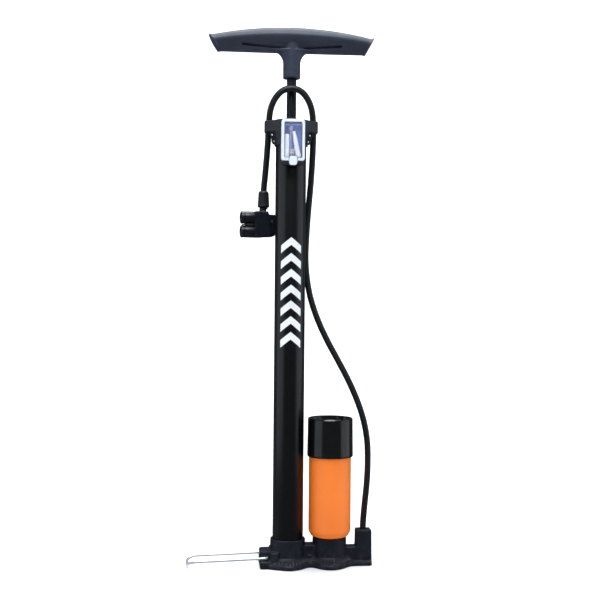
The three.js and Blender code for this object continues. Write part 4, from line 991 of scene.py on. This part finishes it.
def makeContents():
    # each profile is in millimetres, from the foot of the nozzle up
    def foot(node):
        low, high = boxOf(node)
        return Vector(((low[0] + high[0]) / 2, (low[1] + high[1]) / 2, low[2]))

    makeNozzle("long_nozzle", [(0, 0), (3.1, 0, 0.4), (3.1, 8, 0.3), (3, 8.6, 0.3), (2.9, 27, 2.2), (0, 27)],
               foot("straight_nozzle"), whitePlastic, "straight_nozzle")
    makeNozzle("screw_adapter", [
        (0, 0), (2.8, 0, 0.3), (2.8, 2, 0.2), (2.2, 2.6, 0.1), (2.2, 3.8, 0.1), (2.8, 4.4, 0.2), (2.8, 6, 0.2),
        (2.2, 6.6, 0.1), (2.2, 7.8, 0.1), (2.8, 8.4, 0.2), (2.8, 10, 0.3), (0, 10),
    ], foot("valve_adapter"), platedBrass, "valve_adapter")
    needleLow, needleHigh = boxOf("ball_needle")
    top = (needleHigh[2] - needleLow[2]) / mm
    makeNozzle("needle_nozzle", [
        (0, 0), (0.8, 0, 0.4), (0.8, top - 7.5, 0.2), (1.5, top - 6.5, 0.2), (1.5, top - 4.5, 0.1),
        (2.7, top - 4.5, 0.3), (2.7, top, 0.4), (0, top),
    ], foot("ball_needle"), chromeWire, "ball_needle")
    lean, base = math.radians(-11), 3.3
    coneLow, coneHigh = boxOf("cone_nozzle")
    coneFoot = (coneHigh[0] - base * mm * math.cos(lean), (coneLow[1] + coneHigh[1]) / 2,
                coneLow[2] - base * mm * math.sin(lean))
    makeNozzle("taper_nozzle", [
        (0, 0), (base, 0, 0.4), (base, 4, 0.3), (3, 4.5, 0.3), (2.5, 22, 8), (1.7, 30, 0.5), (0, 30),
    ], Vector(coneFoot), whitePlastic, "cone_nozzle", lean)


makeLid(lidValues)
makeCase(caseValues)
makeContents()
print("case made")

# pump head

headTurn = math.radians(10)
headValues = dict(face=-11 * mm, port=7.2 * mm, spacing=16 * mm, collar=16 * mm, right=15.4 * mm, half=8 * mm,
                  neck=4.8 * mm, neckTop=19.8 * mm, pin=(8.2 * mm, 0, 4.4 * mm), pinRoom=1.55 * mm, grain=0.35 * mm)
headAt = Vector((hoseRoute[-1][0], hoseRoute[-1][1], boxOf("head_body")[1][2] - headValues["neckTop"]))
headPlace = Matrix.Translation(headAt) @ Matrix.Rotation(headTurn, 4, "Z")


def inHead(piece, place=Matrix.Identity(4)):
    piece.data.transform(headPlace @ place)
    return piece


def atPort(v, z):
    # the place of a port's mouth in the head, with its axis lying towards -x
    return Matrix.Translation((v["face"], 0, z)) @ Matrix.Rotation(-math.pi / 2, 4, "Y")


def makeHead(v):
    face, right, flat, neckTop = v["face"], v["right"], v["half"] - 0.6 * mm, v["neckTop"]
    half = v["spacing"] / 2 + v["port"]
    side = [
        (face, -half + 0.6 * mm, 0.8 * mm), (right, -half + 1.2 * mm, 8 * mm), (right, 12 * mm, 2 * mm),
        (5.5 * mm, 12 * mm, 0.5 * mm), (4.5 * mm, half + 0.4 * mm, 1.2 * mm), (face, half + 0.4 * mm, 1.5 * mm),
    ]
    body = upright("body", roundedLoop(side, 8), softEdges(-flat, flat, 1.8 * mm, 6))
    neck = turned("neck", rounded([
        (0, half - 3 * mm), (v["neck"], half - 3 * mm), (v["neck"], neckTop, 0.4 * mm), (0, neckTop)]), sides=64)
    wall = blockPiece("portWall", (face - 14 * mm, -5.2 * mm, -0.5 * mm), (face + 2 * mm, 5.2 * mm, 0.5 * mm),
                      0.2 * mm)
    shells = [body, neck, wall]
    cutters = [plainRod("airway", 1.5 * mm, half - 4 * mm, 21 * mm, sides=24)]
    for z in (v["spacing"] / 2, -v["spacing"] / 2):
        # the round barrel of each port swells out of the body's flat sides
        swell = turned("swell", rounded([
            (0, -11 * mm), (7 * mm, -11 * mm, 3 * mm), (7.35 * mm, 0, 0.6 * mm), (0, 0)]), sides=72)
        stub = plainRod("stub", 5.6 * mm, -2 * mm, 6 * mm, sides=64)
        bore = plainRod("bore", 4.1 * mm, -14 * mm, 7 * mm, sides=48)
        for shape in (swell, stub, bore):
            shape.data.transform(atPort(v, z))
        shells += [swell, stub]
        cutters.append(bore)
    # the slot that the lever works in, open at the top and the back
    for x, low, high in ((-2.7 * mm, 3.5 * mm - half, half - 2.2 * mm), (2.7 * mm, 0, half + 3 * mm)):
        cutters.append(blockPiece("slot", (x, -4.3 * mm, low), (right + 2 * mm, 4.3 * mm, high), 0.3 * mm))
    cutters.append(crossRod("pinHole", v["pinRoom"], 10 * mm, v["pin"]))
    settle(inHead(moulded("head_moulding", shells, cutters, v["grain"], 4)), "pump", headPlastic, "head_body")
    for z, mouth, name, node in (
        (v["spacing"] / 2, 4.4 * mm, "wide_port_ring", "upper_collar"),
        (-v["spacing"] / 2, 3.9 * mm, "narrow_port_ring", "lower_collar"),
    ):
        length, r, groove, inner = v["collar"], v["port"], v["port"] - 0.45 * mm, 5.9 * mm
        profile = rounded([
            (inner, 0.3 * mm), (r, 0.3 * mm, 0.4 * mm), (r, length - 4.6 * mm, 0.2 * mm),
            (groove, length - 4.3 * mm, 0.2 * mm), (groove, length - 3.5 * mm, 0.2 * mm),
            (r, length - 3.2 * mm, 0.3 * mm), (r, length, 1.5 * mm), (mouth, length, 0.7 * mm),
            (mouth, length - 1.6 * mm), (inner, length - 1.6 * mm),
        ], 5)
        ring = turned(name, profile, sides=96, closed=True)
        settle(inHead(ring, atPort(v, z)), "pump", headPlastic, node)


leverValues = dict(cam=5 * mm, lobe=7 * mm, swing=math.radians(75), length=38 * mm, half=4 * mm, grain=0.3 * mm)


def makeLever(v):
    # the cam's radius grows from cam to lobe, linearly in the angle, and peaks the swing before the plunger
    peak = math.pi - v["swing"]
    angle = np.linspace(peak - 0.2, 1.5 * math.pi, 60)
    radius = v["cam"] + (v["lobe"] - v["cam"]) * np.maximum(0, 1 - np.abs(angle - peak) / v["swing"])
    cam = np.stack([radius * np.cos(angle), radius * np.sin(angle)], 1)
    end = v["length"]
    arm = rounded([
        tuple(cam[-1]), (12 * mm, -6 * mm, 6 * mm), (24 * mm, -6.2 * mm, 12 * mm),
        (end - 3 * mm, -3.6 * mm, 4 * mm), (end, -3 * mm, 1 * mm), (end, -0.2 * mm, 1.2 * mm),
        (end - 6 * mm, -1 * mm, 5 * mm),
        (14 * mm, -1.2 * mm, 8 * mm), (4 * mm, -0.4 * mm, 1 * mm), tuple(cam[0]),
    ], 8)
    piece = upright("lever", np.concatenate([cam, arm[1:-1]]), softEdges(-v["half"], v["half"], 0.7 * mm, 4))
    hole = crossRod("pinHole", headValues["pinRoom"], 8 * mm)
    piece = moulded("thumb_lever", [piece], [hole], v["grain"], 3)
    settle(inHead(piece, Matrix.Translation(headValues["pin"])), "lever", headPlastic, "lever")


nutValues = dict(low=6.2 * mm, wide=6.9 * mm, top=6 * mm, ribs=18, depth=0.35 * mm)


def makeHoseNut(v):
    # a cone whose radius loses depth * (rounded square wave) between its ribs, fading out at both ends
    low, high = boxOf("hose_nut")
    bottom, height, inner = low[2] - headAt.z, high[2] - low[2], 3.95 * mm
    outer = rounded([
        (inner, 0), (v["low"], 0, 0.5 * mm), (v["wide"], 1.4 * mm, 0.6 * mm),
        (v["top"], height - 1.8 * mm, 0.8 * mm), (4.9 * mm, height, 0.4 * mm), (inner, height)], 8)
    # more rows along the tapered side, so that the ribs fade smoothly
    rows = [outer[0]]
    for a, b in zip(outer, outer[1:]):
        count = max(1, int(np.linalg.norm(b - a) / (0.5 * mm)))
        rows += [a + (b - a) * k / count for k in range(1, count + 1)]
    r, z = np.array(rows).T[:, :, None]
    angle = np.linspace(0, 2 * np.pi, v["ribs"] * 8, endpoint=False)
    groove = 0.5 - 0.5 * np.tanh(3 * np.cos(v["ribs"] * angle))
    fade = np.clip((z - 2 * mm) / (1.2 * mm), 0, 1) * np.clip((height - 2.6 * mm - z) / (1.2 * mm), 0, 1)
    radius = r - v["depth"] * groove * np.where(r > 5 * mm, fade, 0)
    points = np.stack([radius * np.cos(angle), radius * np.sin(angle), z + bottom + 0 * angle], -1)
    piece = pieceFrom("ribbed_nut", points, gridFaces(len(rows), len(angle), rowsClose=True), smoothAngle=40)
    settle(inHead(piece), "pump", hoseRubber, "hose_nut")


makeHead(headValues)
makeLever(leverValues)
makeHoseNut(nutValues)
print("head made")

# finishes for the CAD nodes that stay

keptFinish = {
    sealRubber: [
        "barrel_gasket", "valve_disc", "rebound_bumper", "cup_seal", "tank_seal", "tank_cap_seal", "upper_grommet",
        "lower_grommet"],
    turnedBrass: ["channel_plug", "hose_fitting", "valve_seat"],
    zincSteel: [
        "valve_spring", "cup_washer", "piston_nut", "piston_stud", "handle_stud", "handle_nut", "lever_pin"],
    whiteNylon: ["rod_bush", "piston", "clamp_plunger"],
}
for finish, names in keptFinish.items():
    for node in names:
        nodes[node].data.materials.clear()
        nodes[node].data.materials.append(finish)
print("kept nodes finished")

# studio: a pale floor that sweeps up behind, with soft lights at both sides, above the front, overhead and
# on the backdrop

studioValues = dict(
    floorTone=(246, 246, 247), world=0.09, surround=0.93,
    lamps=[  # name, place, aim, size, power, colour
        ("leftSoftbox", (-1.35, -0.3, 0.5), (0, 0, 0.3), (1.7, 1.6), 5.5, (0.82, 0.89, 1.0)),
        ("rightSoftbox", (1.4, -0.3, 0.5), (0, 0, 0.3), (1.5, 1.6), 5.5, (0.84, 0.90, 1.0)),
        ("frontTopSoftbox", (-0.1, -1.0, 1.75), (0, 0, 0.3), (1.3, 0.9), 26, (0.96, 0.98, 1.0)),
        ("overheadSoftbox", (0.0, -0.25, 1.7), (0, 0, 0.3), (1.3, 1.2), 9, (0.76, 0.85, 1.0)),
        ("backdropSoftbox", (0.0, 0.5, 2.3), (0, 1.6, 0.6), (2.4, 0.8), 60, (1.0, 1.0, 1.0)),
    ],
)


def makeStudio(values):
    # the sweep is a flat floor, then a quarter round, then an upright wall, drawn across in one direction
    profile = rounded([(-3.0, 0), (1.6, 0, 0.9), (1.6, 3.2)], 24)
    x = np.linspace(-3.5, 3.5, 2)
    points = np.stack(np.broadcast_arrays(x[None], profile[:, :1], profile[:, 1:]), -1)
    sweepPiece = pieceFrom("studio_sweep", points, gridFaces(len(profile), 2, columnsClose=False))
    floorTone = values["floorTone"]
    sweepPiece.data.materials.append(surface("paleFloor", floorTone, floorTone, 0.9, grainDepth=1e-5))
    sweepPiece.visible_glossy = False
    for name, place, aim, size, power, colour in values["lamps"]:
        light = bpy.data.lights.new(name, "AREA")
        light.shape, light.size, light.size_y = "RECTANGLE", size[0], size[1]
        light.energy, light.color = power, colour
        lamp = bpy.data.objects.new(name, light)
        bpy.context.scene.collection.objects.link(lamp)
        lamp.location = place
        lamp.rotation_euler = (Vector(aim) - Vector(place)).to_track_quat("-Z", "Y").to_euler()
    bpy.context.scene.view_settings.view_transform = "Standard"
    world = bpy.data.worlds.new("studio")
    world.use_nodes = True
    # the camera sees a pale surround, while the pump is lit by a dim one
    w = Wiring(world.node_tree)
    dim, pale = world.node_tree.nodes["Background"], w.add("ShaderNodeBackground")
    for background, strength in ((dim, values["world"]), (pale, values["surround"])):
        background.inputs["Color"].default_value = (0.95, 0.97, 1.0, 1)
        background.inputs["Strength"].default_value = strength
    seen = w.add("ShaderNodeMixShader")
    w.put(w.add("ShaderNodeLightPath").outputs["Is Camera Ray"], seen.inputs[0])
    w.put(dim.outputs[0], seen.inputs[1])
    w.put(pale.outputs[0], seen.inputs[2])
    w.put(seen.outputs[0], world.node_tree.nodes["World Output"].inputs["Surface"])
    bpy.context.scene.world = world


makeStudio(studioValues)
print("studio made")
